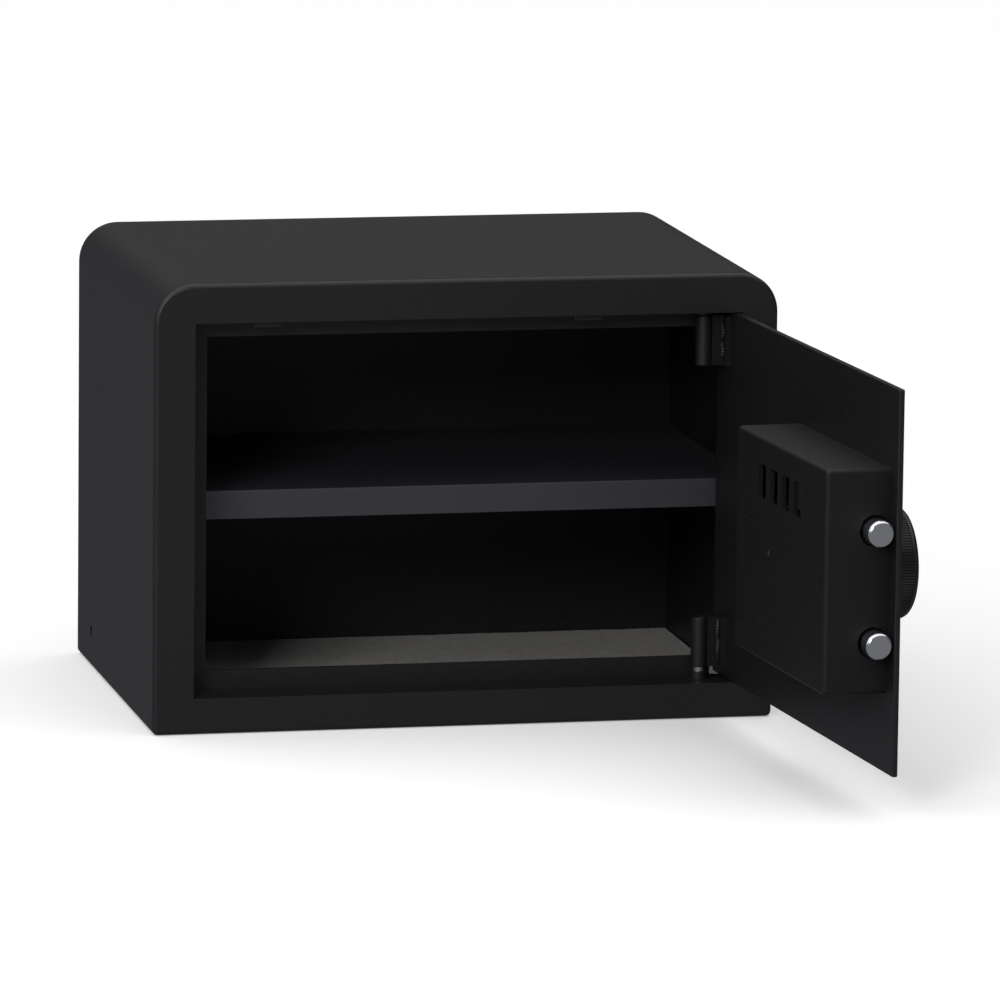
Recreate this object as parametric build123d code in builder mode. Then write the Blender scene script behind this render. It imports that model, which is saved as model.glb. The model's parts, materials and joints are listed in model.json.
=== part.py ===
from build123d import *
import os
from math import cos, radians, sin

os.makedirs("parts", exist_ok=True)

# A small electronic safe, standing with its door open. Millimetres and degrees. The origin is
# the middle of the underside, +X is to the right, +Y runs from the front to the back, +Z is up.

# Fits
running = 0.05  # radial play of a shaft in its bore
free = 0.3  # gap between pieces that move past each other

# Cabinet
width = 350.0
height = 250.0
depth = 245.0
sheet = 2.0  # wrapper, floor, back and jambs
top_corner = 22.0
base_corner = 3.0
hem = 18.0  # wrapper edge turned under the floor
seam = 0.7  # groove between wrapper and front frame
side_hole_d = 6.4
side_hole_from_back = 45.0
side_hole_height = 21.0
anchor_d = 10.0
floor_anchor_pitch = 180.0
back_anchor_pitch = 200.0
back_anchor_height = 100.0

# Front frame, jambs and stop flange
frame_t = 3.0
frame_edge = 2.4
tail_t = 1.5  # frame's turned-in edge, inside the wrapper
tail_depth = 5.0
rim_left = 22.6
rim_right = 20.1
rim_top = 21.8
rim_base = 20.0
jamb_depth = 24.5  # front face to stop flange
stop_width = 11.0
mitre_gap = 0.3
stop_past = 8.0  # stop flange ends this far past the hinge axis

# Shelf and carpet
shelf_setback = 55.0
shelf_top = 126.0
shelf_t = 1.5
shelf_lip = 16.0
shelf_side_gap = 0.5
shelf_back_gap = 1.0
clip_length = 20.0
clip_width = 12.0
clip_from_front = 22.0  # behind the shelf's front edge
clip_from_back = 35.0
carpet_t = 3.0
carpet_gap = 1.0
carpet_setback = 30.0
carpet_hole_d = 20.0

# Door and hinges
open_angle = 94.4
door_t = 3.2
door_edge = 0.8
door_recess = 0.6
gap_strike = 1.2
gap_hinge = 3.7
gap_base = 0.7
gap_top = 0.5
hinge_margin = 14.2  # hinge axis to the door's hinge edge
hinge_setback = 15.9  # hinge axis to the door's outer face
pin_d = 5.0
shoulder_d = 7.0
shoulder_length = 2.4
low_boss = 4.2  # bosses on the jambs, round the pins
high_boss = 3.2
barrel_d = 9.6
barrel_length = 28.0
barrel_gap = 0.1  # lower barrel over its pin's shoulder
pin_reach = 24.0  # into the barrel
pin_root = 14.0  # below the shoulder
block_width = 16.0
leaf_t = 2.4
leaf_web = 6.0
leaf_short = 7.0
leaf_long = 8.0
tab_width = 16.0
tab_drop = 3.2
tab_t = 2.5
tab_from_strike = 40.4  # tabs' middles from the strike jamb and from the hinge axis
tab_from_hinge = 69.0

# Lock cover, measured from the door's free edge
cover_edge_gap = 12.0
cover_height = 121.0
cover_wall = 2.5
cover_round = 2.4
cover_drop = 0.5  # cover's middle above the lock's
slot_count = 4
slot_width = 12.0
slot_length = 19.0
slot_pitch = 19.3
slot_first = 43.0  # first slot's middle from the cover's hinge end
slot_below_top = 24.0
slot_round = 1.5
foot_width = 11.5
foot_span = 67.0
foot_t = 2.0
foot_screw_pitch = 47.0
foot_screw_d = 3.0
foot_screw_head_d = 6.0
foot_screw_head_t = 2.0
foot_screw_bite = 2.5

# Bolts, bolt plate and crank
lock_drop = 0.75  # lock's middle below the door's
bolt_d = 15.0
bolt_pitch = 60.0
bolts_drop = 2.4  # bolts' middle below the lock's
bolt_length = 46.0
bolt_gap = 0.4  # bolts to the door's inner face
bolt_tip_gap = 0.3  # drawn bolt's tip to the door's free edge
bolt_nose = 2.4
strike_hole_play = 0.8
cover_hole_play = 1.0
crank_radius = 13.0
crank_half_turn = 35.0
crank_pin_d = 5.0
crank_arm_d = 9.0
crank_hub_d = 16.0
crank_t = 3.0
plate_t = 3.0
plate_offset = 0.25  # bolt axes to the middle of the bolt plate
plate_gap = 0.8  # crank to bolt plate
plate_reach = 39.2
plate_height = 46.0
plate_drop = 0.5
slot_play = 0.6  # each side of the crank pin
bolt_flange_over = 11.0  # flange past the bolt axes
bolt_flange_half = 5.6
bolt_screw_d = 5.0
bolt_screw_head_d = 8.5
bolt_screw_head_t = 3.0
bolt_screw_bite = 10.0

# Knob
knob_from_edge = 66.0
knob_d = 60.0
knob_height = 22.5
knob_gap = 1.0
knob_crown = 2.5
knob_wall = 3.0
knob_boss_d = 16.0
spindle_d = 8.0
spindle_bite = 14.0
bush_sleeve_d = 12.0
bush_flange_d = 18.0
bush_flange_t = 0.7
clip_ring_d = 13.0
clip_ring_t = 0.7

# Chassis, solenoid and override lock
chassis_t = 1.5
chassis_front = 28.2  # door's free edge to the chassis's front wall
chassis_length = 85.5
chassis_clear = 2.65  # bolts to the chassis's web
chassis_height = 92.0
chassis_foot = 9.0
front_foot_span = 32.0
stud_d = 4.0
stud_length = 7.5
rear_stud_pitch = 68.0
front_stud_pitch = 18.0
nut_flat = 7.0
nut_t = 3.0
bush_wall = 2.0
bush_length = 7.5
bush_back = 1.5
solenoid_width = 16.0
solenoid_height = 20.0
solenoid_frame_t = 1.5
coil_d = 12.4
plunger_d = 6.0
plunger_gap = 0.8  # drawn plunger to the bolt plate's lower edge
plunger_travel = 5.0
notch_play = 0.5
override_from_edge = 100.2
override_below_lock = 35.45
override_d = 16.0
override_flange_d = 22.0
override_flange_t = 3.0
override_reach = 17.1
core_d = 9.0
core_proud = 0.5
core_tail_d = 5.0
core_tail = 3.2
keyway_width = 1.8
keyway_length = 6.5
keyway_depth = 12.0
cam_length = 17.0
cam_width = 8.0
cam_t = 1.8
override_nut_flat = 19.0
override_nut_t = 2.0

# Circuit board, batteries and reset button
board_t = 1.6
board_length = 76.0
board_height = 68.0
board_rise = 3.4
board_shift = 1.0
board_drop = 7.45
board_clear = 1.4  # tallest component to the cover
relay_height = 6.5
standoff_d = 5.0
standoff_inset = 4.0
reset_from_edge = 105.0
reset_d = 3.6
reset_length = 5.8
reset_proud = 0.4
reset_hole_play = 0.4
battery_d = 14.2
battery_length = 49.5
battery_nub_d = 5.5
battery_nub = 1.0
battery_gap = 0.3
tray_wall = 1.2
tray_end_room = 3.55  # past each end of the cells, for the contacts
tray_clear = 2.0  # tray to the door
tray_inset = 4.8  # cover's hinge end to the tray
tray_gap = 0.7  # tray to the chassis's foot
tray_middle_drop = 13.45
contact_t = 0.4
lid_gap = 0.3
lid_rim = 1.0

# Keypad on the door's outer face
pad_from_edge = 165.2
pad_width = 84.0
pad_height = 124.0
pad_depth = 13.0
pad_wall = 2.0
pad_round = 8.0
pad_edge = 2.5
key_width = 15.4
key_height = 10.4
key_proud = 1.2
key_flange = 1.0
key_flange_t = 1.0
key_travel = 1.0
key_column_pitch = 21.0
key_row_pitch = 17.0
key_rows_drop = 13.45  # keys' middle below the lock's
display_width = 52.0
display_height = 18.0
display_rise = 34.55
display_t = 1.5
lamp_d = 3.0
lamp_rise = 52.0
lamp_spread = 10.0
pad_board_t = 1.6
pad_board_gap = 1.3
pad_board_width = 74.0
pad_board_height = 92.0
pad_board_rise = 0.55
pad_screw_offset = 21.8
pad_screw_pitch = 104.0
pad_screw_d = 4.0
pad_screw_head_d = 7.0
pad_screw_head_t = 2.2
pad_boss_d = 8.0
cable_d = 3.0
cable_bend = 10.0
cable_hole_d = 8.0
cable_offset = 28.8
cable_rise = 21.55

# ---------------------------------------------------------------- places worked out from the sizes

opening_left = -width / 2 + rim_left
opening_right = width / 2 - rim_right
opening_base = rim_base
opening_top = height - rim_top
inner_side = width / 2 - sheet
inner_top = height - sheet

pivot_x = opening_right - gap_hinge - hinge_margin
pivot_setback = door_recess + hinge_setback
pivot_y = pivot_setback - depth / 2
door_low = opening_base + gap_base
door_high = opening_top - gap_top
door_length = pivot_x - (opening_left + gap_strike)  # hinge axis to the free edge
inner_face = hinge_setback - door_t
lock_height = (door_low + door_high) / 2 - lock_drop
bolts_height = lock_height - bolts_drop
bolt_inset = door_t + bolt_gap + bolt_d / 2  # bolt axis to the door's outer face
chassis_depth = bolt_gap + bolt_d + chassis_clear + chassis_t

battery_pitch = battery_d + battery_gap
tray_width = 2 * battery_pitch + 2 * tray_wall + contact_t
tray_depth = 2 * battery_pitch + tray_wall + 2 * free
tray_length = battery_length + battery_nub + 2 * tray_end_room + 2 * tray_wall
board_stack = board_rise + board_t + relay_height + board_clear
cover_depth = cover_wall + max(tray_depth + tray_clear, chassis_depth + board_stack)
cover_length = (
    chassis_front - cover_edge_gap
    + chassis_length + chassis_foot
    + tray_gap + tray_width + tray_inset
)

along_door = Vector(-cos(radians(open_angle)), -sin(radians(open_angle)), 0)
outward = Vector(sin(radians(open_angle)), -cos(radians(open_angle)), 0)


def facing(setback):
    """Plane parallel to the cabinet's front, setback behind it: x is right, y is up."""
    return Plane.XZ.offset(depth / 2 - setback)


def on_door(along, out, up):
    """Point on the open door: along it from the hinge axis, outwards from the axis, up."""
    return Vector(pivot_x, pivot_y, up) + along_door * along + outward * out


def door_face(out):
    """Plane across the door that faces into the safe: x runs along the door, y is up."""
    return Plane(origin=on_door(0, out, 0), x_dir=along_door, z_dir=outward * -1)


def door_plan(up):
    """Level plane through the door: x runs along the door, y runs outwards."""
    return Plane(origin=on_door(0, 0, up), x_dir=along_door, z_dir=(0, 0, 1))


def door_edge_plane(along):
    """Upright plane square to the door: x runs outwards, y is up."""
    return Plane(origin=on_door(along, 0, 0), x_dir=outward, z_dir=along_door)


def draw_outline(inset):
    """Cabinet section: round at the top corners, nearly square at the floor."""
    with Locations((0, inset)):
        Rectangle(width - 2 * inset, height - 2 * inset, align=(Align.CENTER, Align.MIN))
    fillet(vertices().group_by(Axis.Y)[-1], top_corner - inset)
    fillet(vertices().group_by(Axis.Y)[0], max(base_corner - inset, 0.2))


# ---------------------------------------------------------------- cabinet

# Wrapper: one sheet bent round the sides and top, with its edges turned under.
with BuildPart() as body_shell:
    with BuildSketch(facing(depth)):
        draw_outline(0)
    extrude(amount=depth - frame_t - seam)
    with BuildSketch(facing(depth)):
        draw_outline(sheet)
    extrude(amount=depth, mode=Mode.SUBTRACT)
    with BuildSketch(facing(depth)):
        Rectangle(width - 2 * hem, 2 * sheet)
    extrude(amount=depth, mode=Mode.SUBTRACT)
    with BuildSketch(Plane.YZ.offset(-width / 2)):
        with Locations((depth / 2 - side_hole_from_back, side_hole_height)):
            Circle(side_hole_d / 2)
    extrude(amount=2 * sheet, mode=Mode.SUBTRACT)
body_shell.part.label = "body_shell"
export_step(body_shell.part, "parts/body_shell.step")

with BuildPart() as floor_plate:
    with BuildSketch(Plane.XY):
        with Locations((0, (frame_t + seam) / 2)):
            Rectangle(width - 2 * hem, depth - frame_t - seam)
        with GridLocations(floor_anchor_pitch, 0, 2, 1):
            Circle(anchor_d / 2, mode=Mode.SUBTRACT)
    extrude(amount=sheet)
floor_plate.part.label = "floor_plate"
export_step(floor_plate.part, "parts/floor_plate.step")

with BuildPart() as back_plate:
    with BuildSketch(facing(depth)):
        draw_outline(sheet)
    extrude(amount=sheet)
    with BuildSketch(facing(depth)):
        with Locations((0, back_anchor_height)):
            with GridLocations(back_anchor_pitch, 0, 2, 1):
                Circle(anchor_d / 2)
    extrude(amount=sheet, mode=Mode.SUBTRACT)
back_plate.part.label = "back_plate"
export_step(back_plate.part, "parts/back_plate.step")

# Front frame: a face ring with rounded edges, its tail welded inside the wrapper.
with BuildPart() as front_frame:
    with BuildSketch(facing(frame_t)):
        draw_outline(0)
    extrude(amount=frame_t)
    fillet(faces().sort_by(Axis.Y)[0].edges(), frame_edge)
    with BuildSketch(facing(frame_t)):
        draw_outline(sheet)
    extrude(amount=-tail_depth)
    with BuildSketch(facing(frame_t)):
        draw_outline(sheet + tail_t)
    extrude(amount=-tail_depth, mode=Mode.SUBTRACT)
    with BuildSketch(facing(frame_t)):
        with Locations(((opening_left + opening_right) / 2, (opening_base + opening_top) / 2)):
            Rectangle(opening_right - opening_left, opening_top - opening_base)
    extrude(amount=frame_t, mode=Mode.SUBTRACT)
front_frame.part.label = "front_frame"
export_step(front_frame.part, "parts/front_frame.step")

stop_back = jamb_depth + sheet
jamb_run = stop_back - frame_t
stop_right = pivot_x + stop_past
bolt_setback = door_recess + bolt_inset

with BuildPart() as strike_jamb:
    with BuildSketch(facing(stop_back)):
        with Locations((opening_left, (opening_base + opening_top) / 2)):
            Rectangle(sheet, opening_top - opening_base, align=(Align.MAX, Align.CENTER))
    extrude(amount=jamb_run)
    with BuildSketch(facing(stop_back)):
        Polygon(
            (opening_left, opening_base + mitre_gap),
            (opening_left + stop_width, opening_base + stop_width + mitre_gap),
            (opening_left + stop_width, opening_top - stop_width - mitre_gap),
            (opening_left, opening_top - mitre_gap),
            align=None,
        )
    extrude(amount=sheet)
    with BuildSketch(Plane.YZ.offset(opening_left - sheet)):
        with Locations((bolt_setback - depth / 2, bolts_height)):
            with GridLocations(0, bolt_pitch, 1, 2):
                Circle(bolt_d / 2 + strike_hole_play)
    extrude(amount=2 * sheet, mode=Mode.SUBTRACT)
strike_jamb.part.label = "strike_jamb"
export_step(strike_jamb.part, "parts/strike_jamb.step")

# Head jamb, with two lugs that the closed door comes to rest against.
with BuildPart() as top_jamb:
    with BuildSketch(facing(stop_back)):
        with Locations((opening_left - sheet, opening_top)):
            Rectangle(opening_right - opening_left + sheet, sheet, align=(Align.MIN, Align.MIN))
    extrude(amount=jamb_run)
    with BuildSketch(facing(stop_back)):
        Polygon(
            (opening_left, opening_top),
            (opening_left + stop_width, opening_top - stop_width),
            (stop_right, opening_top - stop_width),
            (stop_right, opening_top),
            align=None,
        )
    extrude(amount=sheet)
    with BuildSketch(Plane.XY.offset(opening_top)):
        with Locations((pivot_x, pivot_y)):
            Circle(barrel_d / 2)
    extrude(amount=-high_boss)
    with BuildSketch(Plane.XY.offset(opening_top - high_boss)):
        with Locations((pivot_x, pivot_y)):
            Circle(pin_d / 2)
    extrude(amount=high_boss + sheet, mode=Mode.SUBTRACT)
    with BuildSketch(Plane.XY.offset(opening_top - tab_drop)):
        for place in (opening_left + tab_from_strike, pivot_x - tab_from_hinge):
            with Locations((place, door_recess + door_t + free - depth / 2)):
                Rectangle(tab_width, tab_t, align=(Align.CENTER, Align.MIN))
    extrude(amount=tab_drop)
top_jamb.part.label = "top_jamb"
export_step(top_jamb.part, "parts/top_jamb.step")

with BuildPart() as bottom_jamb:
    with BuildSketch(facing(stop_back)):
        with Locations((opening_left - sheet, opening_base)):
            Rectangle(opening_right - opening_left + sheet, sheet, align=(Align.MIN, Align.MAX))
    extrude(amount=jamb_run)
    with BuildSketch(facing(stop_back)):
        Polygon(
            (opening_left, opening_base),
            (opening_left + stop_width, opening_base + stop_width),
            (stop_right, opening_base + stop_width),
            (stop_right, opening_base),
            align=None,
        )
    extrude(amount=sheet)
    with BuildSketch(Plane.XY.offset(opening_base)):
        with Locations((pivot_x, pivot_y)):
            Circle(barrel_d / 2)
    extrude(amount=low_boss)
    with BuildSketch(Plane.XY.offset(opening_base - sheet)):
        with Locations((pivot_x, pivot_y)):
            Circle(pin_d / 2)
    extrude(amount=sheet + low_boss, mode=Mode.SUBTRACT)
bottom_jamb.part.label = "bottom_jamb"
export_step(bottom_jamb.part, "parts/bottom_jamb.step")

# ---------------------------------------------------------------- hinge pins in the cabinet

block_low = opening_base - sheet
block_high = opening_top + sheet

with BuildPart() as hinge_blocks:
    with BuildSketch(Plane.XY.offset(sheet)):
        with Locations((pivot_x, pivot_y)):
            Rectangle(block_width, block_width)
    extrude(amount=block_low - sheet)
    with BuildSketch(Plane.XY.offset(block_high)):
        with Locations((pivot_x, pivot_y)):
            Rectangle(block_width, block_width)
    extrude(amount=inner_top - block_high)
    with BuildSketch(Plane.XY.offset(opening_base - pin_root)):
        with Locations((pivot_x, pivot_y)):
            Circle(pin_d / 2)
    extrude(amount=pin_root, mode=Mode.SUBTRACT)
    with BuildSketch(Plane.XY.offset(opening_top)):
        with Locations((pivot_x, pivot_y)):
            Circle(pin_d / 2)
    extrude(amount=pin_root, mode=Mode.SUBTRACT)
hinge_blocks.part.label = "hinge_blocks"
export_step(hinge_blocks.part, "parts/hinge_blocks.step")

low_shoulder = opening_base + low_boss + shoulder_length
low_barrel = low_shoulder + barrel_gap
high_barrel = opening_top - high_boss - free - barrel_length

with BuildPart() as hinge_pins:
    with BuildSketch(Plane.XY.offset(opening_base - pin_root)):
        with Locations((pivot_x, pivot_y)):
            Circle(pin_d / 2)
    extrude(amount=pin_root + low_boss + shoulder_length + pin_reach)
    with BuildSketch(Plane.XY.offset(opening_base + low_boss)):
        with Locations((pivot_x, pivot_y)):
            Circle(shoulder_d / 2)
    extrude(amount=shoulder_length)
    with BuildSketch(Plane.XY.offset(opening_top + pin_root)):
        with Locations((pivot_x, pivot_y)):
            Circle(pin_d / 2)
    extrude(amount=-(pin_root + high_boss + free + pin_reach))
hinge_pins.part.label = "hinge_pins"
export_step(hinge_pins.part, "parts/hinge_pins.step")

# ---------------------------------------------------------------- shelf, its clips and the carpet

shelf_under = shelf_top - shelf_t
shelf_back = depth - sheet - shelf_back_gap
clip_setbacks = (shelf_setback + clip_from_front, shelf_back - clip_from_back)

with BuildPart() as shelf_clips:
    for setback in clip_setbacks:
        with BuildSketch(facing(setback + clip_length)):
            for side in (-1, 1):
                with Locations((side * (inner_side - sheet / 2), shelf_under - running)):
                    Rectangle(sheet, clip_width, align=(Align.CENTER, Align.MAX))
                with Locations((side * (inner_side - clip_width / 2), shelf_under - running)):
                    Rectangle(clip_width, sheet, align=(Align.CENTER, Align.MAX))
        extrude(amount=clip_length)
shelf_clips.part.label = "shelf_clips"
export_step(shelf_clips.part, "parts/shelf_clips.step")

shelf_half = inner_side - shelf_side_gap
with BuildPart() as shelf:
    with BuildSketch(Plane.YZ.offset(-shelf_half)):
        with Locations((shelf_setback - depth / 2, shelf_top)):
            Rectangle(shelf_back - shelf_setback, shelf_t, align=(Align.MIN, Align.MAX))
            Rectangle(shelf_t, shelf_lip, align=(Align.MIN, Align.MAX))
        with Locations((shelf_back - depth / 2, shelf_top)):
            Rectangle(shelf_t, shelf_lip, align=(Align.MAX, Align.MAX))
    extrude(amount=2 * shelf_half)
    fillet(edges().filter_by(Axis.X).group_by(Axis.Z)[-1], shelf_t * 0.6)
shelf.part.label = "shelf"
export_step(shelf.part, "parts/shelf.step")

with BuildPart() as floor_carpet:
    carpet_back = depth - sheet - carpet_gap
    with BuildSketch(Plane.XY.offset(sheet)):
        with Locations((0, (carpet_setback + carpet_back - depth) / 2)):
            Rectangle(2 * (inner_side - carpet_gap), carpet_back - carpet_setback)
        with GridLocations(floor_anchor_pitch, 0, 2, 1):
            Circle(carpet_hole_d / 2, mode=Mode.SUBTRACT)
    extrude(amount=carpet_t)
floor_carpet.part.label = "floor_carpet"
export_step(floor_carpet.part, "parts/floor_carpet.step")

# ---------------------------------------------------------------- door places

cover_end = door_length - cover_edge_gap
cover_start = cover_end - cover_length
cover_middle = (cover_start + cover_end) / 2
cover_height_at = lock_height + cover_drop
cover_out = inner_face - cover_depth
cover_inside = cover_out + cover_wall
foot_middle = cover_start - foot_width / 2

bolt_out = hinge_setback - bolt_inset
bolt_tip = door_length - bolt_tip_gap
bolt_rear = bolt_tip - bolt_length
bolt_heights = (bolts_height - bolt_pitch / 2, bolts_height + bolt_pitch / 2)
throw = 2 * crank_radius * sin(radians(crank_half_turn))
knob_at = door_length - knob_from_edge
plate_out = bolt_out - plate_offset
crank_out = plate_out + plate_t / 2 + plate_gap

chassis_wall = door_length - chassis_front
chassis_rear = chassis_wall - chassis_length
chassis_middle = (chassis_wall + chassis_rear) / 2
chassis_web = inner_face - chassis_depth
rear_foot_at = chassis_rear - chassis_foot / 2
front_foot_at = chassis_wall + chassis_foot / 2
stud_points = [(rear_foot_at, lock_height + side * rear_stud_pitch / 2) for side in (-1, 1)]
stud_points += [(front_foot_at, lock_height + side * front_stud_pitch / 2) for side in (-1, 1)]

board_back = chassis_web - board_rise
board_front = board_back - board_t
board_at = chassis_middle + board_shift
board_height_at = lock_height - board_drop

override_at = door_length - override_from_edge
override_height = lock_height - override_below_lock
reset_at = door_length - reset_from_edge

pad_at = door_length - pad_from_edge
pad_top = hinge_setback + pad_depth
pad_screw_at = pad_at + pad_screw_offset
cable_at = pad_at + cable_offset
cable_height = lock_height + cable_rise

# ---------------------------------------------------------------- door plate and hinge halves

with BuildPart() as door_plate:
    with BuildSketch(door_face(hinge_setback)):
        with Locations(((door_length - hinge_margin) / 2, (door_low + door_high) / 2)):
            Rectangle(door_length + hinge_margin, door_high - door_low)
    extrude(amount=door_t)
    fillet(edges(), door_edge)
    with BuildSketch(door_face(hinge_setback)):
        with Locations((knob_at, lock_height)):
            Circle(bush_sleeve_d / 2)
        with Locations((override_at, override_height)):
            Circle(override_d / 2)
        with Locations((cable_at, cable_height)):
            Circle(cable_hole_d / 2)
        with Locations((pad_screw_at, lock_height)):
            with GridLocations(0, pad_screw_pitch, 1, 2):
                Circle(pad_screw_d / 2)
    extrude(amount=door_t, mode=Mode.SUBTRACT)
    with BuildSketch(door_face(inner_face)):
        with Locations((foot_middle, lock_height)):
            with GridLocations(0, foot_screw_pitch, 1, 2):
                Circle(foot_screw_d / 2)
    extrude(amount=-foot_screw_bite, mode=Mode.SUBTRACT)
    with BuildSketch(door_face(inner_face)):
        with Locations(*stud_points):
            Circle(stud_d / 2)
    extrude(amount=stud_length)
door_plate.part.label = "door_plate"
export_step(door_plate.part, "parts/door_plate.step")

with BuildPart() as hinge_barrels:
    for foot in (low_barrel, high_barrel):
        with BuildSketch(door_plan(foot)):
            Circle(barrel_d / 2)
            Circle(pin_d / 2 + running, mode=Mode.SUBTRACT)
        extrude(amount=barrel_length)
    rims = edges().filter_by(GeomType.CIRCLE)
    fillet(rims.filter_by(lambda rim: rim.radius > shoulder_d / 2), 0.6)
hinge_barrels.part.label = "hinge_barrels"
export_step(hinge_barrels.part, "parts/hinge_barrels.step")

with BuildPart() as hinge_leaves:
    for foot in (low_barrel, high_barrel):
        with BuildSketch(door_plan(foot)):
            with Locations(((leaf_long - leaf_short) / 2, inner_face)):
                Rectangle(leaf_long + leaf_short, leaf_t, align=(Align.CENTER, Align.MAX))
            with Locations((0, inner_face - leaf_t / 2)):
                Rectangle(leaf_web, inner_face - leaf_t / 2, align=(Align.CENTER, Align.MAX))
            Circle(barrel_d / 2, mode=Mode.SUBTRACT)
        extrude(amount=barrel_length)
hinge_leaves.part.label = "hinge_leaves"
export_step(hinge_leaves.part, "parts/hinge_leaves.step")

# ---------------------------------------------------------------- lock cover and its lid

tray_at = cover_start + tray_inset + tray_width / 2
tray_height = lock_height - tray_middle_drop
lid_width = tray_width - 2 * lid_rim
lid_height = tray_length - 2 * lid_rim

with BuildPart() as lock_cover:
    with BuildSketch(door_face(inner_face)):
        with Locations((cover_middle, cover_height_at)):
            RectangleRounded(cover_length, cover_height, cover_round)
    extrude(amount=cover_depth)
    big_face = faces().sort_by(Axis(on_door(0, 0, 0), outward))[0]
    fillet(big_face.edges(), cover_round * 0.98)
    with BuildSketch(door_face(inner_face)):
        with Locations((cover_middle, cover_height_at)):
            Rectangle(cover_length - 2 * cover_wall, cover_height - 2 * cover_wall)
    extrude(amount=cover_depth - cover_wall, mode=Mode.SUBTRACT)
    with BuildSketch(door_face(inner_face)):
        with Locations((cover_start + cover_wall / 2, lock_height)):
            Rectangle(foot_width + cover_wall / 2, foot_span, align=(Align.MAX, Align.CENTER))
        with Locations((foot_middle, lock_height)):
            with GridLocations(0, foot_screw_pitch, 1, 2):
                Circle(foot_screw_d / 2, mode=Mode.SUBTRACT)
    extrude(amount=foot_t)
    slots_at = cover_start + slot_first + slot_pitch * (slot_count - 1) / 2
    slots_height = cover_height_at + cover_height / 2 - slot_below_top
    with BuildSketch(door_face(cover_inside)):
        with Locations((slots_at, slots_height)):
            with GridLocations(slot_pitch, 0, slot_count, 1):
                RectangleRounded(slot_width, slot_length, slot_round)
        with Locations((reset_at, lock_height)):
            Circle(reset_d / 2 + reset_hole_play)
        with Locations((tray_at, tray_height)):
            Rectangle(lid_width, lid_height)
    extrude(amount=cover_wall, mode=Mode.SUBTRACT)
    with BuildSketch(door_edge_plane(cover_end)):
        with Locations((bolt_out, bolts_height)):
            with GridLocations(0, bolt_pitch, 1, 2):
                Circle(bolt_d / 2 + cover_hole_play)
    extrude(amount=-2 * cover_wall, mode=Mode.SUBTRACT)
lock_cover.part.label = "lock_cover"
export_step(lock_cover.part, "parts/lock_cover.step")

with BuildPart() as battery_lid:
    with BuildSketch(door_face(cover_inside)):
        with Locations((tray_at, tray_height)):
            Rectangle(lid_width - 2 * lid_gap, lid_height - 2 * lid_gap)
    extrude(amount=cover_wall)
battery_lid.part.label = "battery_lid"
export_step(battery_lid.part, "parts/battery_lid.step")

with BuildPart() as cover_screws:
    with BuildSketch(door_face(inner_face - foot_t)):
        with Locations((foot_middle, lock_height)):
            with GridLocations(0, foot_screw_pitch, 1, 2):
                Circle(foot_screw_head_d / 2)
    extrude(amount=foot_screw_head_t)
    fillet(edges().group_by(Axis(on_door(0, 0, 0), outward))[0], 0.8)
    with BuildSketch(door_face(inner_face - foot_t)):
        with Locations((foot_middle, lock_height)):
            with GridLocations(0, foot_screw_pitch, 1, 2):
                Circle(foot_screw_d / 2)
    extrude(amount=-(foot_t + foot_screw_bite))
cover_screws.part.label = "cover_screws"
export_step(cover_screws.part, "parts/cover_screws.step")

# ---------------------------------------------------------------- lock chassis

# Hat-shaped bracket, with the circuit board's standoffs clinched into it.
with BuildPart() as lock_chassis:
    chassis_foot_z = lock_height - chassis_height / 2
    with BuildSketch(door_plan(chassis_foot_z)):
        with Locations((chassis_wall, inner_face)):
            Rectangle(chassis_t, chassis_depth, align=(Align.MAX, Align.MAX))
        with Locations((chassis_rear, inner_face)):
            Rectangle(chassis_t, chassis_depth, align=(Align.MIN, Align.MAX))
            Rectangle(chassis_foot, chassis_t, align=(Align.MAX, Align.MAX))
        with Locations((chassis_middle, chassis_web)):
            Rectangle(chassis_length, chassis_t, align=(Align.CENTER, Align.MIN))
    extrude(amount=chassis_height)
    with BuildSketch(door_face(inner_face)):
        with Locations((chassis_wall, lock_height)):
            Rectangle(chassis_foot, front_foot_span, align=(Align.MIN, Align.CENTER))
    extrude(amount=chassis_t)
    with BuildSketch(door_face(inner_face)):
        with Locations(*stud_points):
            Circle(stud_d / 2)
    extrude(amount=chassis_t, mode=Mode.SUBTRACT)
    with BuildSketch(door_edge_plane(chassis_wall)):
        with Locations((bolt_out, bolts_height)):
            with GridLocations(0, bolt_pitch, 1, 2):
                Circle(bolt_d / 2 + bush_wall)
    extrude(amount=-chassis_t, mode=Mode.SUBTRACT)
    standoff_pitch_x = board_length - 2 * standoff_inset
    standoff_pitch_y = board_height - 2 * standoff_inset
    with BuildSketch(door_face(chassis_web)):
        with Locations((board_at, board_height_at)):
            with GridLocations(standoff_pitch_x, standoff_pitch_y, 2, 2):
                Circle(standoff_d / 2)
    extrude(amount=board_rise)
lock_chassis.part.label = "lock_chassis"
export_step(lock_chassis.part, "parts/lock_chassis.step")

with BuildPart() as chassis_nuts:
    with BuildSketch(door_face(inner_face - chassis_t)):
        with Locations(*stud_points):
            RegularPolygon(nut_flat / 2, 6, major_radius=False)
            Circle(stud_d / 2, mode=Mode.SUBTRACT)
    extrude(amount=nut_t)
chassis_nuts.part.label = "chassis_nuts"
export_step(chassis_nuts.part, "parts/chassis_nuts.step")

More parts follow.
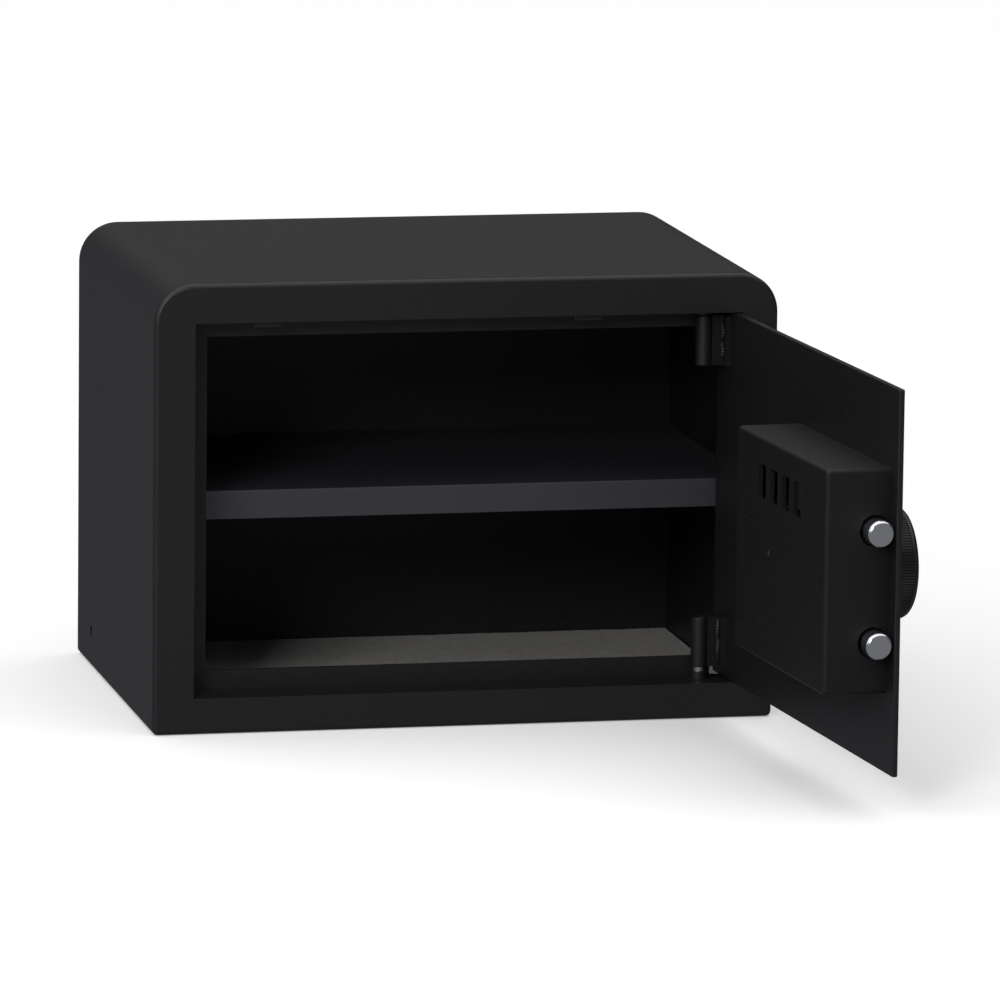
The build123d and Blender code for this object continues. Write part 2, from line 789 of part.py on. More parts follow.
bush_start = chassis_wall - chassis_t - bush_back
with BuildPart() as bolt_bushes:
    with BuildSketch(door_edge_plane(bush_start)):
        with Locations((bolt_out, bolts_height)):
            with GridLocations(0, bolt_pitch, 1, 2):
                Circle(bolt_d / 2 + bush_wall)
                Circle(bolt_d / 2 + running, mode=Mode.SUBTRACT)
        with Locations((inner_face, bolts_height)):
            Rectangle(
                bolt_d,
                2 * bolt_pitch,
                align=(Align.MIN, Align.CENTER),
                mode=Mode.SUBTRACT,
            )
    extrude(amount=bush_length)
bolt_bushes.part.label = "bolt_bushes"
export_step(bolt_bushes.part, "parts/bolt_bushes.step")

# ---------------------------------------------------------------- bolts and their plate

with BuildPart() as live_bolts:
    with BuildSketch(door_edge_plane(bolt_rear)):
        with Locations((bolt_out, bolts_height)):
            with GridLocations(0, bolt_pitch, 1, 2):
                Circle(bolt_d / 2)
    extrude(amount=bolt_length)
    noses = edges().group_by(Axis(on_door(0, 0, 0), along_door))[-1]
    fillet(noses, bolt_nose)
    with BuildSketch(door_edge_plane(bolt_rear)):
        with Locations((bolt_out, bolts_height)):
            with GridLocations(0, bolt_pitch, 1, 2):
                Circle(bolt_screw_d / 2)
    extrude(amount=bolt_screw_bite, mode=Mode.SUBTRACT)
live_bolts.part.label = "live_bolts"
export_step(live_bolts.part, "parts/live_bolts.step")

web_low = lock_height - plate_height / 2 - plate_drop
web_start = bolt_rear - plate_reach
pin_along = knob_at - crank_radius * sin(radians(crank_half_turn))
pin_low = crank_radius * cos(radians(crank_half_turn))
pin_slot_height = crank_radius - pin_low + crank_pin_d + 2 * slot_play
notch_top = plunger_travel + plunger_gap

with BuildPart() as bolt_plate:
    with BuildSketch(door_edge_plane(bolt_rear)):
        with Locations((bolt_out, bolts_height)):
            Rectangle(2 * bolt_flange_half, bolt_pitch + 2 * bolt_flange_over)
            with GridLocations(0, bolt_pitch, 1, 2):
                Circle(bolt_screw_d / 2, mode=Mode.SUBTRACT)
    extrude(amount=-plate_t)
    with BuildSketch(door_face(plate_out + plate_t / 2)):
        with Locations((web_start, web_low)):
            Rectangle(plate_reach - plate_t / 2, plate_height, align=(Align.MIN, Align.MIN))
        with Locations((pin_along, lock_height + (crank_radius + pin_low) / 2)):
            Rectangle(crank_pin_d + 2 * slot_play, pin_slot_height, mode=Mode.SUBTRACT)
        for moved in (0, throw):
            with Locations((knob_at - moved, web_low)):
                Rectangle(
                    plunger_d + 2 * notch_play,
                    notch_top,
                    align=(Align.CENTER, Align.MIN),
                    mode=Mode.SUBTRACT,
                )
    extrude(amount=plate_t)
bolt_plate.part.label = "bolt_plate"
export_step(bolt_plate.part, "parts/bolt_plate.step")

with BuildPart() as bolt_screws:
    with BuildSketch(door_edge_plane(bolt_rear - plate_t)):
        with Locations((bolt_out, bolts_height)):
            with GridLocations(0, bolt_pitch, 1, 2):
                Circle(bolt_screw_head_d / 2)
    extrude(amount=-bolt_screw_head_t)
    with BuildSketch(door_edge_plane(bolt_rear - plate_t)):
        with Locations((bolt_out, bolts_height)):
            with GridLocations(0, bolt_pitch, 1, 2):
                Circle(bolt_screw_d / 2)
    extrude(amount=plate_t + bolt_screw_bite)
bolt_screws.part.label = "bolt_screws"
export_step(bolt_screws.part, "parts/bolt_screws.step")

# ---------------------------------------------------------------- knob, spindle and crank

knob_base = hinge_setback + knob_gap
spindle_end = knob_base + spindle_bite

with BuildPart() as knob:
    with BuildSketch(door_face(knob_base)):
        with Locations((knob_at, lock_height)):
            Circle(knob_d / 2)
    extrude(amount=-knob_height)
    fillet(edges().group_by(Axis(on_door(0, 0, 0), outward))[-1], knob_crown)
    with BuildSketch(door_face(knob_base)):
        with Locations((knob_at, lock_height)):
            Circle(knob_d / 2 - knob_wall)
            Circle(knob_boss_d / 2, mode=Mode.SUBTRACT)
    extrude(amount=knob_wall - knob_height, mode=Mode.SUBTRACT)
    with BuildSketch(door_face(knob_base)):
        with Locations((knob_at, lock_height)):
            Circle(spindle_d / 2)
    extrude(amount=-spindle_bite, mode=Mode.SUBTRACT)
knob.part.label = "knob"
export_step(knob.part, "parts/knob.step")

with BuildPart() as knob_spindle:
    with BuildSketch(door_face(spindle_end)):
        with Locations((knob_at, lock_height)):
            Circle(spindle_d / 2)
    extrude(amount=spindle_end - crank_out)
knob_spindle.part.label = "knob_spindle"
export_step(knob_spindle.part, "parts/knob_spindle.step")

bush_inner = crank_out + crank_t + clip_ring_t + 2 * free
with BuildPart() as knob_bush:
    with BuildSketch(door_face(hinge_setback + bush_flange_t)):
        with Locations((knob_at, lock_height)):
            Circle(bush_flange_d / 2)
    extrude(amount=bush_flange_t)
    with BuildSketch(door_face(hinge_setback)):
        with Locations((knob_at, lock_height)):
            Circle(bush_sleeve_d / 2)
    extrude(amount=hinge_setback - bush_inner)
    with BuildSketch(door_face(hinge_setback + bush_flange_t)):
        with Locations((knob_at, lock_height)):
            Circle(spindle_d / 2 + running)
    extrude(amount=pad_depth, mode=Mode.SUBTRACT)
knob_bush.part.label = "knob_bush"
export_step(knob_bush.part, "parts/knob_bush.step")

with BuildPart() as spindle_clip:
    with BuildSketch(door_face(crank_out + crank_t + free + clip_ring_t)):
        with Locations((knob_at, lock_height)):
            Circle(clip_ring_d / 2)
            Circle(spindle_d / 2, mode=Mode.SUBTRACT)
    extrude(amount=clip_ring_t)
spindle_clip.part.label = "spindle_clip"
export_step(spindle_clip.part, "parts/spindle_clip.step")

with BuildPart() as drive_crank:
    with BuildSketch(door_face(crank_out + crank_t)):
        with Locations((knob_at, lock_height)):
            Circle(crank_hub_d / 2)
        with Locations((pin_along, lock_height + pin_low)):
            Circle(crank_arm_d / 2)
        make_hull()
        with Locations((knob_at, lock_height)):
            Circle(spindle_d / 2, mode=Mode.SUBTRACT)
    extrude(amount=crank_t)
    with BuildSketch(door_face(crank_out)):
        with Locations((pin_along, lock_height + pin_low)):
            Circle(crank_pin_d / 2)
    extrude(amount=plate_gap + plate_t + free)
drive_crank.part.label = "drive_crank"
export_step(drive_crank.part, "parts/drive_crank.step")

# ---------------------------------------------------------------- solenoid

solenoid_back = chassis_web + chassis_t
solenoid_front = plate_out + coil_d / 2 + 0.4
solenoid_foot = web_low - plunger_gap - free - solenoid_height
plunger_foot = solenoid_foot + solenoid_frame_t + free
plunger_length = web_low - plunger_gap - plunger_foot

with BuildPart() as solenoid_frame:
    with BuildSketch(door_edge_plane(knob_at - solenoid_width / 2)):
        with Locations((solenoid_back, solenoid_foot)):
            Rectangle(solenoid_front - solenoid_back, solenoid_height, align=(Align.MIN, Align.MIN))
        with Locations((solenoid_back + solenoid_frame_t, solenoid_foot + solenoid_frame_t)):
            Rectangle(
                solenoid_front - solenoid_back,
                solenoid_height - 2 * solenoid_frame_t,
                align=(Align.MIN, Align.MIN),
                mode=Mode.SUBTRACT,
            )
    extrude(amount=solenoid_width)
    with BuildSketch(door_plan(solenoid_foot + solenoid_height)):
        with Locations((knob_at, plate_out)):
            Circle(plunger_d / 2 + running)
    extrude(amount=-solenoid_frame_t, mode=Mode.SUBTRACT)
solenoid_frame.part.label = "solenoid_frame"
export_step(solenoid_frame.part, "parts/solenoid_frame.step")

with BuildPart() as solenoid_coil:
    with BuildSketch(door_plan(solenoid_foot + solenoid_frame_t)):
        with Locations((knob_at, plate_out)):
            Circle(coil_d / 2)
            Circle(plunger_d / 2 + 2 * running, mode=Mode.SUBTRACT)
    extrude(amount=solenoid_height - 2 * solenoid_frame_t)
solenoid_coil.part.label = "solenoid_coil"
export_step(solenoid_coil.part, "parts/solenoid_coil.step")

with BuildPart() as solenoid_plunger:
    with BuildSketch(door_plan(plunger_foot)):
        with Locations((knob_at, plate_out)):
            Circle(plunger_d / 2)
    extrude(amount=plunger_length)
    chamfer(edges().group_by(Axis.Z)[-1], 0.6)
solenoid_plunger.part.label = "solenoid_plunger"
export_step(solenoid_plunger.part, "parts/solenoid_plunger.step")

# ---------------------------------------------------------------- override key lock

lock_inner = hinge_setback - override_reach
with BuildPart() as override_body:
    with BuildSketch(door_face(hinge_setback + override_flange_t)):
        with Locations((override_at, override_height)):
            Circle(override_flange_d / 2)
    extrude(amount=override_flange_t)
    fillet(edges().group_by(Axis(on_door(0, 0, 0), outward))[-1], 1.0)
    with BuildSketch(door_face(hinge_setback)):
        with Locations((override_at, override_height)):
            Circle(override_d / 2)
    extrude(amount=override_reach)
    with BuildSketch(door_face(hinge_setback + override_flange_t)):
        with Locations((override_at, override_height)):
            Circle(core_d / 2 + running)
    extrude(amount=override_flange_t + override_reach, mode=Mode.SUBTRACT)
override_body.part.label = "override_body"
export_step(override_body.part, "parts/override_body.step")

with BuildPart() as override_nut:
    with BuildSketch(door_face(inner_face)):
        with Locations((override_at, override_height)):
            RegularPolygon(override_nut_flat / 2, 6, major_radius=False, rotation=30)
            Circle(override_d / 2, mode=Mode.SUBTRACT)
    extrude(amount=override_nut_t)
override_nut.part.label = "override_nut"
export_step(override_nut.part, "parts/override_nut.step")

core_front = hinge_setback + override_flange_t + core_proud
core_step = lock_inner - free
with BuildPart() as override_core:
    with BuildSketch(door_face(core_front)):
        with Locations((override_at, override_height)):
            Circle(core_d / 2)
    extrude(amount=core_front - core_step)
    with BuildSketch(door_face(core_step)):
        with Locations((override_at, override_height)):
            Circle(core_tail_d / 2)
    extrude(amount=core_tail)
    with BuildSketch(door_face(core_front)):
        with Locations((override_at, override_height)):
            Rectangle(keyway_width, keyway_length)
    extrude(amount=keyway_depth, mode=Mode.SUBTRACT)
override_core.part.label = "override_core"
export_step(override_core.part, "parts/override_core.step")

with BuildPart() as override_cam:
    with BuildSketch(door_face(core_step)):
        with Locations((override_at + cam_length / 2, override_height)):
            SlotOverall(cam_length + cam_width, cam_width)
        with Locations((override_at, override_height)):
            Circle(core_tail_d / 2, mode=Mode.SUBTRACT)
    extrude(amount=cam_t)
override_cam.part.label = "override_cam"
export_step(override_cam.part, "parts/override_cam.step")

# ---------------------------------------------------------------- circuit board and reset button

with BuildPart() as circuit_board:
    with BuildSketch(door_face(board_back)):
        with Locations((board_at, board_height_at)):
            RectangleRounded(board_length, board_height, 2)
    extrude(amount=board_t)
circuit_board.part.label = "circuit_board"
export_step(circuit_board.part, "parts/circuit_board.step")

# Reset switch, relay, processor, driver and cable socket: place along, place up, size, size, depth.
socket_at = board_at - board_length / 2 + 5.0
component_table = (
    (reset_at, lock_height, 6.0, 6.0, 3.5),
    (board_at + 16.0, lock_height - 20.0, 20.0, 15.0, relay_height),
    (board_at + 4.0, lock_height + 6.0, 12.0, 12.0, 1.6),
    (board_at + 26.0, lock_height + 8.0, 8.0, 10.0, 2.2),
    (board_at - 14.0, lock_height - 24.0, 6.0, 14.0, 5.5),
    (socket_at, cable_height, 6.0, 8.0, 5.6),
)
with BuildPart() as board_components:
    for along, up, size_x, size_y, rise in component_table:
        with BuildSketch(door_face(board_front)):
            with Locations((along, up)):
                Rectangle(size_x, size_y)
        extrude(amount=rise)
board_components.part.label = "board_components"
export_step(board_components.part, "parts/board_components.step")

with BuildPart() as reset_button:
    with BuildSketch(door_face(cover_out - reset_proud)):
        with Locations((reset_at, lock_height)):
            Circle(reset_d / 2)
    extrude(amount=-reset_length)
    fillet(edges().group_by(Axis(on_door(0, 0, 0), outward))[0], 0.4)
reset_button.part.label = "reset_button"
export_step(reset_button.part, "parts/reset_button.step")

# ---------------------------------------------------------------- batteries

inner_span = tray_length - 2 * tray_wall
cell_low = tray_height - battery_length / 2
layer_outs = [cover_inside + free + battery_pitch * (row + 0.5) for row in range(2)]
cell_points = [
    (tray_at + side * battery_pitch / 2, out) for side in (-1, 1) for out in layer_outs
]

with BuildPart() as battery_tray:
    with BuildSketch(door_face(cover_inside)):
        with Locations((tray_at, tray_height)):
            Rectangle(tray_width, tray_length)
    extrude(amount=-tray_depth)
    with BuildSketch(door_face(cover_inside)):
        with Locations((tray_at, tray_height)):
            Rectangle(tray_width - 2 * tray_wall, inner_span)
    extrude(amount=tray_wall - tray_depth, mode=Mode.SUBTRACT)
battery_tray.part.label = "battery_tray"
export_step(battery_tray.part, "parts/battery_tray.step")

with BuildPart() as batteries:
    with BuildSketch(door_plan(cell_low)):
        with Locations(*cell_points):
            Circle(battery_d / 2)
    extrude(amount=battery_length)
    with BuildSketch(door_plan(cell_low + battery_length)):
        with Locations(*cell_points):
            Circle(battery_nub_d / 2)
    extrude(amount=battery_nub)
batteries.part.label = "batteries"
export_step(batteries.part, "parts/batteries.step")

# Each end has a strip; a cone spring presses every cell from below.
strip_low = tray_height - inner_span / 2
strip_high = tray_height + inner_span / 2 - contact_t
nub_top = cell_low + battery_length + battery_nub
with BuildPart() as battery_contacts:
    with BuildSketch(door_plan(strip_low)):
        with Locations((tray_at, sum(layer_outs) / 2)):
            Rectangle(2 * battery_pitch - 2, 2 * battery_pitch - 2)
    extrude(amount=contact_t)
    with BuildSketch(door_plan(strip_high)):
        with Locations((tray_at, sum(layer_outs) / 2)):
            Rectangle(2 * battery_pitch - 2, 2 * battery_pitch - 2)
    extrude(amount=contact_t)
    with BuildSketch(door_plan(cell_low)):
        with Locations(*cell_points):
            Circle(2.0)
    extrude(amount=strip_low + contact_t - cell_low, taper=-20)
    with BuildSketch(door_plan(nub_top)):
        with Locations(*cell_points):
            Circle(1.5)
    extrude(amount=strip_high - nub_top)
battery_contacts.part.label = "battery_contacts"
export_step(battery_contacts.part, "parts/battery_contacts.step")

# ---------------------------------------------------------------- keypad

key_hole_x = key_width + 2 * free
key_hole_y = key_height + 2 * free
keys_height = lock_height - key_rows_drop
pad_inside = pad_top - pad_wall
display_height_at = lock_height + display_rise
lamps_height = lock_height + lamp_rise

with BuildPart() as keypad_housing:
    with BuildSketch(door_face(hinge_setback)):
        with Locations((pad_at, lock_height)):
            RectangleRounded(pad_width, pad_height, pad_round)
    extrude(amount=-pad_depth)
    fillet(faces().sort_by(Axis(on_door(0, 0, 0), outward))[-1].edges(), pad_edge)
    with BuildSketch(door_face(hinge_setback)):
        with Locations((pad_at, lock_height)):
            RectangleRounded(pad_width - 2 * pad_wall, pad_height - 2 * pad_wall, pad_round - pad_wall)
    extrude(amount=pad_wall - pad_depth, mode=Mode.SUBTRACT)
    with BuildSketch(door_face(hinge_setback)):
        with Locations((pad_screw_at, lock_height)):
            with GridLocations(0, pad_screw_pitch, 1, 2):
                Circle(pad_boss_d / 2)
    extrude(amount=pad_wall - pad_depth)
    with BuildSketch(door_face(hinge_setback)):
        with Locations((pad_screw_at, lock_height)):
            with GridLocations(0, pad_screw_pitch, 1, 2):
                Circle(pad_screw_d / 2)
    extrude(amount=pad_wall - pad_depth, mode=Mode.SUBTRACT)
    with BuildSketch(door_face(pad_inside)):
        with Locations((pad_at, keys_height)):
            with GridLocations(key_column_pitch, key_row_pitch, 3, 4):
                Rectangle(key_hole_x, key_hole_y)
        with Locations((pad_at, display_height_at)):
            Rectangle(display_width, display_height)
        with Locations((pad_at, lamps_height)):
            with GridLocations(lamp_spread, 0, 2, 1):
                Circle(lamp_d / 2)
    extrude(amount=-pad_wall, mode=Mode.SUBTRACT)
keypad_housing.part.label = "keypad_housing"
export_step(keypad_housing.part, "parts/keypad_housing.step")

with BuildPart() as display_window:
    with BuildSketch(door_face(pad_inside)):
        with Locations((pad_at, display_height_at)):
            Rectangle(display_width, display_height)
    extrude(amount=-display_t)
    with BuildSketch(door_face(pad_inside)):
        with Locations((pad_at, display_height_at)):
            Rectangle(display_width + 2, display_height + 2)
    extrude(amount=1.0)
display_window.part.label = "display_window"
export_step(display_window.part, "parts/display_window.step")

pad_board_out = pad_inside - key_flange_t - key_travel - pad_board_gap
with BuildPart() as status_lamps:
    with BuildSketch(door_face(pad_board_out)):
        with Locations((pad_at, lamps_height)):
            with GridLocations(lamp_spread, 0, 2, 1):
                Circle(lamp_d / 2)
    extrude(amount=pad_board_out - pad_top - 0.5)
    fillet(edges().group_by(Axis(on_door(0, 0, 0), outward))[-1], 0.9)
status_lamps.part.label = "status_lamps"
export_step(status_lamps.part, "parts/status_lamps.step")

with BuildPart() as keypad_board:
    with BuildSketch(door_face(pad_board_out)):
        with Locations((pad_at, lock_height + pad_board_rise)):
            Rectangle(pad_board_width, pad_board_height)
        with Locations((pad_at, lamps_height)):
            Rectangle(2 * lamp_spread, 14)
    extrude(amount=pad_board_t)
keypad_board.part.label = "keypad_board"
export_step(keypad_board.part, "parts/keypad_board.step")

with BuildPart() as keypad_screws:
    with BuildSketch(door_face(inner_face)):
        with Locations((pad_screw_at, lock_height)):
            with GridLocations(0, pad_screw_pitch, 1, 2):
                Circle(pad_screw_head_d / 2)
    extrude(amount=pad_screw_head_t)
    with BuildSketch(door_face(inner_face)):
        with Locations((pad_screw_at, lock_height)):
            with GridLocations(0, pad_screw_pitch, 1, 2):
                Circle(pad_screw_d / 2)
    extrude(amount=-(door_t + pad_depth - 2 * pad_wall))
keypad_screws.part.label = "keypad_screws"
export_step(keypad_screws.part, "parts/keypad_screws.step")

key_marks = (("1", "2", "3"), ("4", "5", "6"), ("7", "8", "9"), ("clear", "0", "enter"))
for row, marks in enumerate(key_marks):
    for column, mark in enumerate(marks):
        key_at = pad_at + (1 - column) * key_column_pitch
        key_up = keys_height + (1.5 - row) * key_row_pitch
        with BuildPart() as key:
            with BuildSketch(door_face(pad_inside - key_flange_t)):
                with Locations((key_at, key_up)):
                    RectangleRounded(key_width, key_height, 2)
            extrude(amount=-(key_flange_t + pad_wall + key_proud))
            fillet(edges().group_by(Axis(on_door(0, 0, 0), outward))[-1], 0.6)
            with BuildSketch(door_face(pad_inside - running)):
                with Locations((key_at, key_up)):
                    Rectangle(key_hole_x + 2 * key_flange, key_hole_y + 2 * key_flange)
            extrude(amount=key_flange_t - running)
        key.part.label = f"key_{mark}"
        export_step(key.part, f"parts/key_{mark}.step")

# Cable from the keypad board through the door to the socket on the circuit board.
with BuildPart() as keypad_cable:
    cable_end = socket_at - 3.0
    cable_back = board_front - 2.8
    with BuildLine(door_plan(cable_height)):
        FilletPolyline(
            (cable_at, pad_board_out - pad_board_t),
            (cable_at, cable_back),
            (cable_end, cable_back),
            radius=cable_bend,
        )
    with BuildSketch(door_face(pad_board_out - pad_board_t)):
        with Locations((cable_at, cable_height)):
            Circle(cable_d / 2)
    sweep()
keypad_cable.part.label = "keypad_cable"
export_step(keypad_cable.part, "parts/keypad_cable.step")
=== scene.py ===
import json
from math import atan2, hypot, pi, radians, sin, tau

import bmesh
import bpy
from mathutils import Matrix, Vector, noise


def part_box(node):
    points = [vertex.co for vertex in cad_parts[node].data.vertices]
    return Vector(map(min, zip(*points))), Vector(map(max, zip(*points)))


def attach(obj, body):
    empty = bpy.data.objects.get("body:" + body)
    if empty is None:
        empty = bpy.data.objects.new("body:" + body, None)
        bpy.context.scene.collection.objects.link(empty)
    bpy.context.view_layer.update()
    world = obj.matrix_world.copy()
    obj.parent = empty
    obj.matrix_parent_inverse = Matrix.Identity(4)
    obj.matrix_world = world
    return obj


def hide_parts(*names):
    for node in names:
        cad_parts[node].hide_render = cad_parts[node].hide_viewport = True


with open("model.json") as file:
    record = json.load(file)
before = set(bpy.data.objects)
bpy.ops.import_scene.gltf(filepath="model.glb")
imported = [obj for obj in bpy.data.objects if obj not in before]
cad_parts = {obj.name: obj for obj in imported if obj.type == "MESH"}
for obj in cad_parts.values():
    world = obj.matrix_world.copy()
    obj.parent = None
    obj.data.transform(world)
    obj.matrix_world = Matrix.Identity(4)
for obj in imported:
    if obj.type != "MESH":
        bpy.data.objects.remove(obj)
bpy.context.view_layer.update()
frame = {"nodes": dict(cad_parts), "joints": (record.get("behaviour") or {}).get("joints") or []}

# ---------------------------------------------------------------- camera
# A long lens stands 4.7 m off, a little to the left of the cabinet and above it, and looks down
# at it by ten degrees, so that the box is seen almost without perspective.

scene = bpy.context.scene

camera_right = Vector((0.97643118, -0.21550649, 0.01179414))
camera_up = Vector((0.02575872, 0.17061602, 0.98500084))
camera_back = camera_right.cross(camera_up)
camera_data = bpy.data.cameras.new("camera")
camera_data.lens = 309.6
camera_data.sensor_width = 36.0
camera_data.clip_start = 0.1
camera_data.clip_end = 200.0
camera = bpy.data.objects.new("camera", camera_data)
camera_place = Vector((-0.99696, -4.67916, 0.94232))
camera.matrix_world = Matrix.Translation(camera_place) @ Matrix(
    (camera_right, camera_up, camera_back)
).transposed().to_4x4()
scene.collection.objects.link(camera)
scene.camera = camera

# ---------------------------------------------------------------- studio
# White paper sweep under a wide overhead diffuser, which leaves only a soft dark line where the
# safe meets the paper. The room is black above and behind, and grey boards low on the left and
# in front lift the paint. Two softboxes model it.


def linear(code):
    """The linear colour of an sRGB hex code."""
    parts = [int(code[i : i + 2], 16) / 255 for i in (1, 3, 5)]
    bent = [c / 12.92 if c <= 0.04045 else ((c + 0.055) / 1.055) ** 2.4 for c in parts]
    return (*bent, 1.0)


def add(tree, kind, settings=None, feeds=None):
    """Adds a node, with its settings and the sockets that feed its inputs."""
    made = tree.nodes.new(kind)
    for name, value in (settings or {}).items():
        if name in made.inputs:
            made.inputs[name].default_value = value
        else:
            setattr(made, name, value)
    for name, socket in (feeds or {}).items():
        tree.links.new(socket, made.inputs[name])
    return made


def start_material(name, colour, **settings):
    """A material with one principled shader. Returns it, its tree, shader and coordinates."""
    made = bpy.data.materials.new(name)
    made.use_nodes = True
    tree = made.node_tree
    tree.nodes.clear()
    values = {key.replace("_", " "): value for key, value in settings.items()}
    values["Base Color"] = linear(colour)
    shader = add(tree, "ShaderNodeBsdfPrincipled", values)
    add(tree, "ShaderNodeOutputMaterial", feeds={"Surface": shader.outputs[0]})
    coords = add(tree, "ShaderNodeTexCoord").outputs["Object"]
    return made, tree, shader, coords


def finish_mesh(bm, name, material, smooth_below=40.0):
    """Turns a bmesh into an object at the origin, smooth except at edges sharper than that."""
    mesh = bpy.data.meshes.new(name)
    bm.to_mesh(mesh)
    bm.free()
    mesh.materials.append(material)
    mesh.shade_smooth()
    mesh.set_sharp_from_angle(angle=radians(smooth_below))
    made = bpy.data.objects.new(name, mesh)
    scene.collection.objects.link(made)
    return made


world = bpy.data.worlds.new("studio")
scene.world = world
world.use_nodes = True
world.node_tree.nodes.clear()
seen = add(world.node_tree, "ShaderNodeLightPath").outputs["Is Camera Ray"]
room_side = add(
    world.node_tree,
    "ShaderNodeVectorMath",
    {"operation": "DOT_PRODUCT"},
    {0: add(world.node_tree, "ShaderNodeTexCoord").outputs["Generated"]},
)
room_side.inputs[1].default_value = (-0.61, -0.51, -0.61)
room_light = add(
    world.node_tree,
    "ShaderNodeMapRange",
    {"From Min": -0.95, "From Max": -0.13, "To Min": 0.0, "To Max": 0.19},
    {"Value": room_side.outputs["Value"]},
)
around = add(
    world.node_tree,
    "ShaderNodeBackground",
    {"Color": linear("#f4f6ff")},
    {"Strength": room_light.outputs[0]},
)
behind = add(world.node_tree, "ShaderNodeBackground", {"Strength": 1.0, "Color": linear("#ffffff")})
mixed = add(
    world.node_tree,
    "ShaderNodeMixShader",
    feeds={"Fac": seen, 1: around.outputs[0], 2: behind.outputs[0]},
)
add(world.node_tree, "ShaderNodeOutputWorld", feeds={"Surface": mixed.outputs[0]})

paper, tree, shader, coords = start_material("matt_paper_sweep", "#ffffff", Roughness=0.9)
shader.inputs["Specular IOR Level"].default_value = 0.1
shader.inputs["Emission Color"].default_value = linear("#ffffff")
shader.inputs["Emission Strength"].default_value = 0.17
fibres = add(tree, "ShaderNodeTexNoise", {"Scale": 900.0, "Detail": 2.0}, {"Vector": coords})
relief = add(
    tree,
    "ShaderNodeBump",
    {"Strength": 0.2, "Distance": 0.0001},
    {"Height": fibres.outputs["Fac"]},
)
tree.links.new(relief.outputs[0], shader.inputs["Normal"])

paper_radius = 14.0
paper_drop = 0.0002
bm = bmesh.new()
bmesh.ops.create_circle(bm, cap_ends=True, segments=96, radius=paper_radius)
bmesh.ops.translate(bm, verts=bm.verts, vec=(0, 0, -paper_drop))
floor = finish_mesh(bm, "floor", paper)
floor.visible_glossy = False


def lamp(name, kind, place, target, power, **settings):
    """A studio lamp at a place, turned to face its target."""
    data = bpy.data.lights.new(name, kind)
    data.energy = power
    for key, value in settings.items():
        setattr(data, key, value)
    made = bpy.data.objects.new(name, data)
    made.location = place
    facing = Vector(target) - Vector(place)
    made.rotation_euler = facing.to_track_quat("-Z", "Y").to_euler()
    scene.collection.objects.link(made)
    return made


lamp("diffuser", "SUN", (0, 0, 3), (-0.02, -0.04, 0), 2.25, angle=radians(110))
for name, place, height, power, size in (
    ("left_softbox", (-2.4, -0.6, 1.3), 0.12, 7.0, (1.2, 1.6)),
    ("front_softbox", (-1.7, -2.9, 1.35), 0.1, 36.0, (1.0, 0.7)),
):
    lamp(
        name, "AREA", place, (0, 0, height), power, shape="RECTANGLE", size=size[0], size_y=size[1]
    )
scene.view_settings.view_transform = "Standard"
scene.view_settings.look = "None"

# ---------------------------------------------------------------- cabinet
# The wrapper, floor, back, front frame, jambs, hinge blocks and shelf clips are cold-rolled steel
# sheet, bent and spot-welded, then sprayed with one black polyester powder and baked.

nodes = frame["nodes"]


def paint(material, *names):
    """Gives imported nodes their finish."""
    for name in names:
        slots = nodes[name].data.materials
        slots.clear()
        slots.append(material)


# Black powder coat: a satin film with a fine orange peel and a grain of half-melted powder. The
# real grain is 0.3 mm and is drawn at 0.9 mm, the finest that shows.
coat, tree, shader, coords = start_material("black_powder_coat", "#0f1012", Roughness=0.45)
drift = add(tree, "ShaderNodeTexNoise", {"Scale": 9.0, "Detail": 2.0}, {"Vector": coords})
peel = add(tree, "ShaderNodeTexNoise", {"Scale": 260.0, "Detail": 1.0}, {"Vector": coords})
grain = add(
    tree,
    "ShaderNodeTexNoise",
    {"Scale": 1100.0, "Detail": 3.0, "Roughness": 0.6},
    {"Vector": coords},
)
tint = add(
    tree,
    "ShaderNodeMix",
    {"data_type": "RGBA"},
    {0: drift.outputs["Fac"]},
)
tint.inputs[6].default_value = linear("#0d0e10")
tint.inputs[7].default_value = linear("#131314")
speckle = add(
    tree,
    "ShaderNodeMapRange",
    {"From Min": 0.3, "From Max": 0.7, "To Min": 0.38, "To Max": 0.56},
    {"Value": grain.outputs["Fac"]},
)
high = add(
    tree,
    "ShaderNodeBump",
    {"Strength": 0.35, "Distance": 0.00025},
    {"Height": peel.outputs["Fac"]},
)
low = add(
    tree,
    "ShaderNodeBump",
    {"Strength": 0.5, "Distance": 0.00012},
    {"Height": grain.outputs["Fac"], "Normal": high.outputs[0]},
)
tree.links.new(tint.outputs[2], shader.inputs["Base Color"])
tree.links.new(speckle.outputs[0], shader.inputs["Roughness"])
tree.links.new(low.outputs[0], shader.inputs["Normal"])
paint(
    coat,
    "body_shell",
    "floor_plate",
    "back_plate",
    "front_frame",
    "strike_jamb",
    "top_jamb",
    "bottom_jamb",
    "hinge_blocks",
    "shelf_clips",
)

# ---------------------------------------------------------------- hinge pins
# Two shouldered steel pins, turned and nickel-plated, riveted into the welded hinge blocks. Each
# stands up into a door barrel.

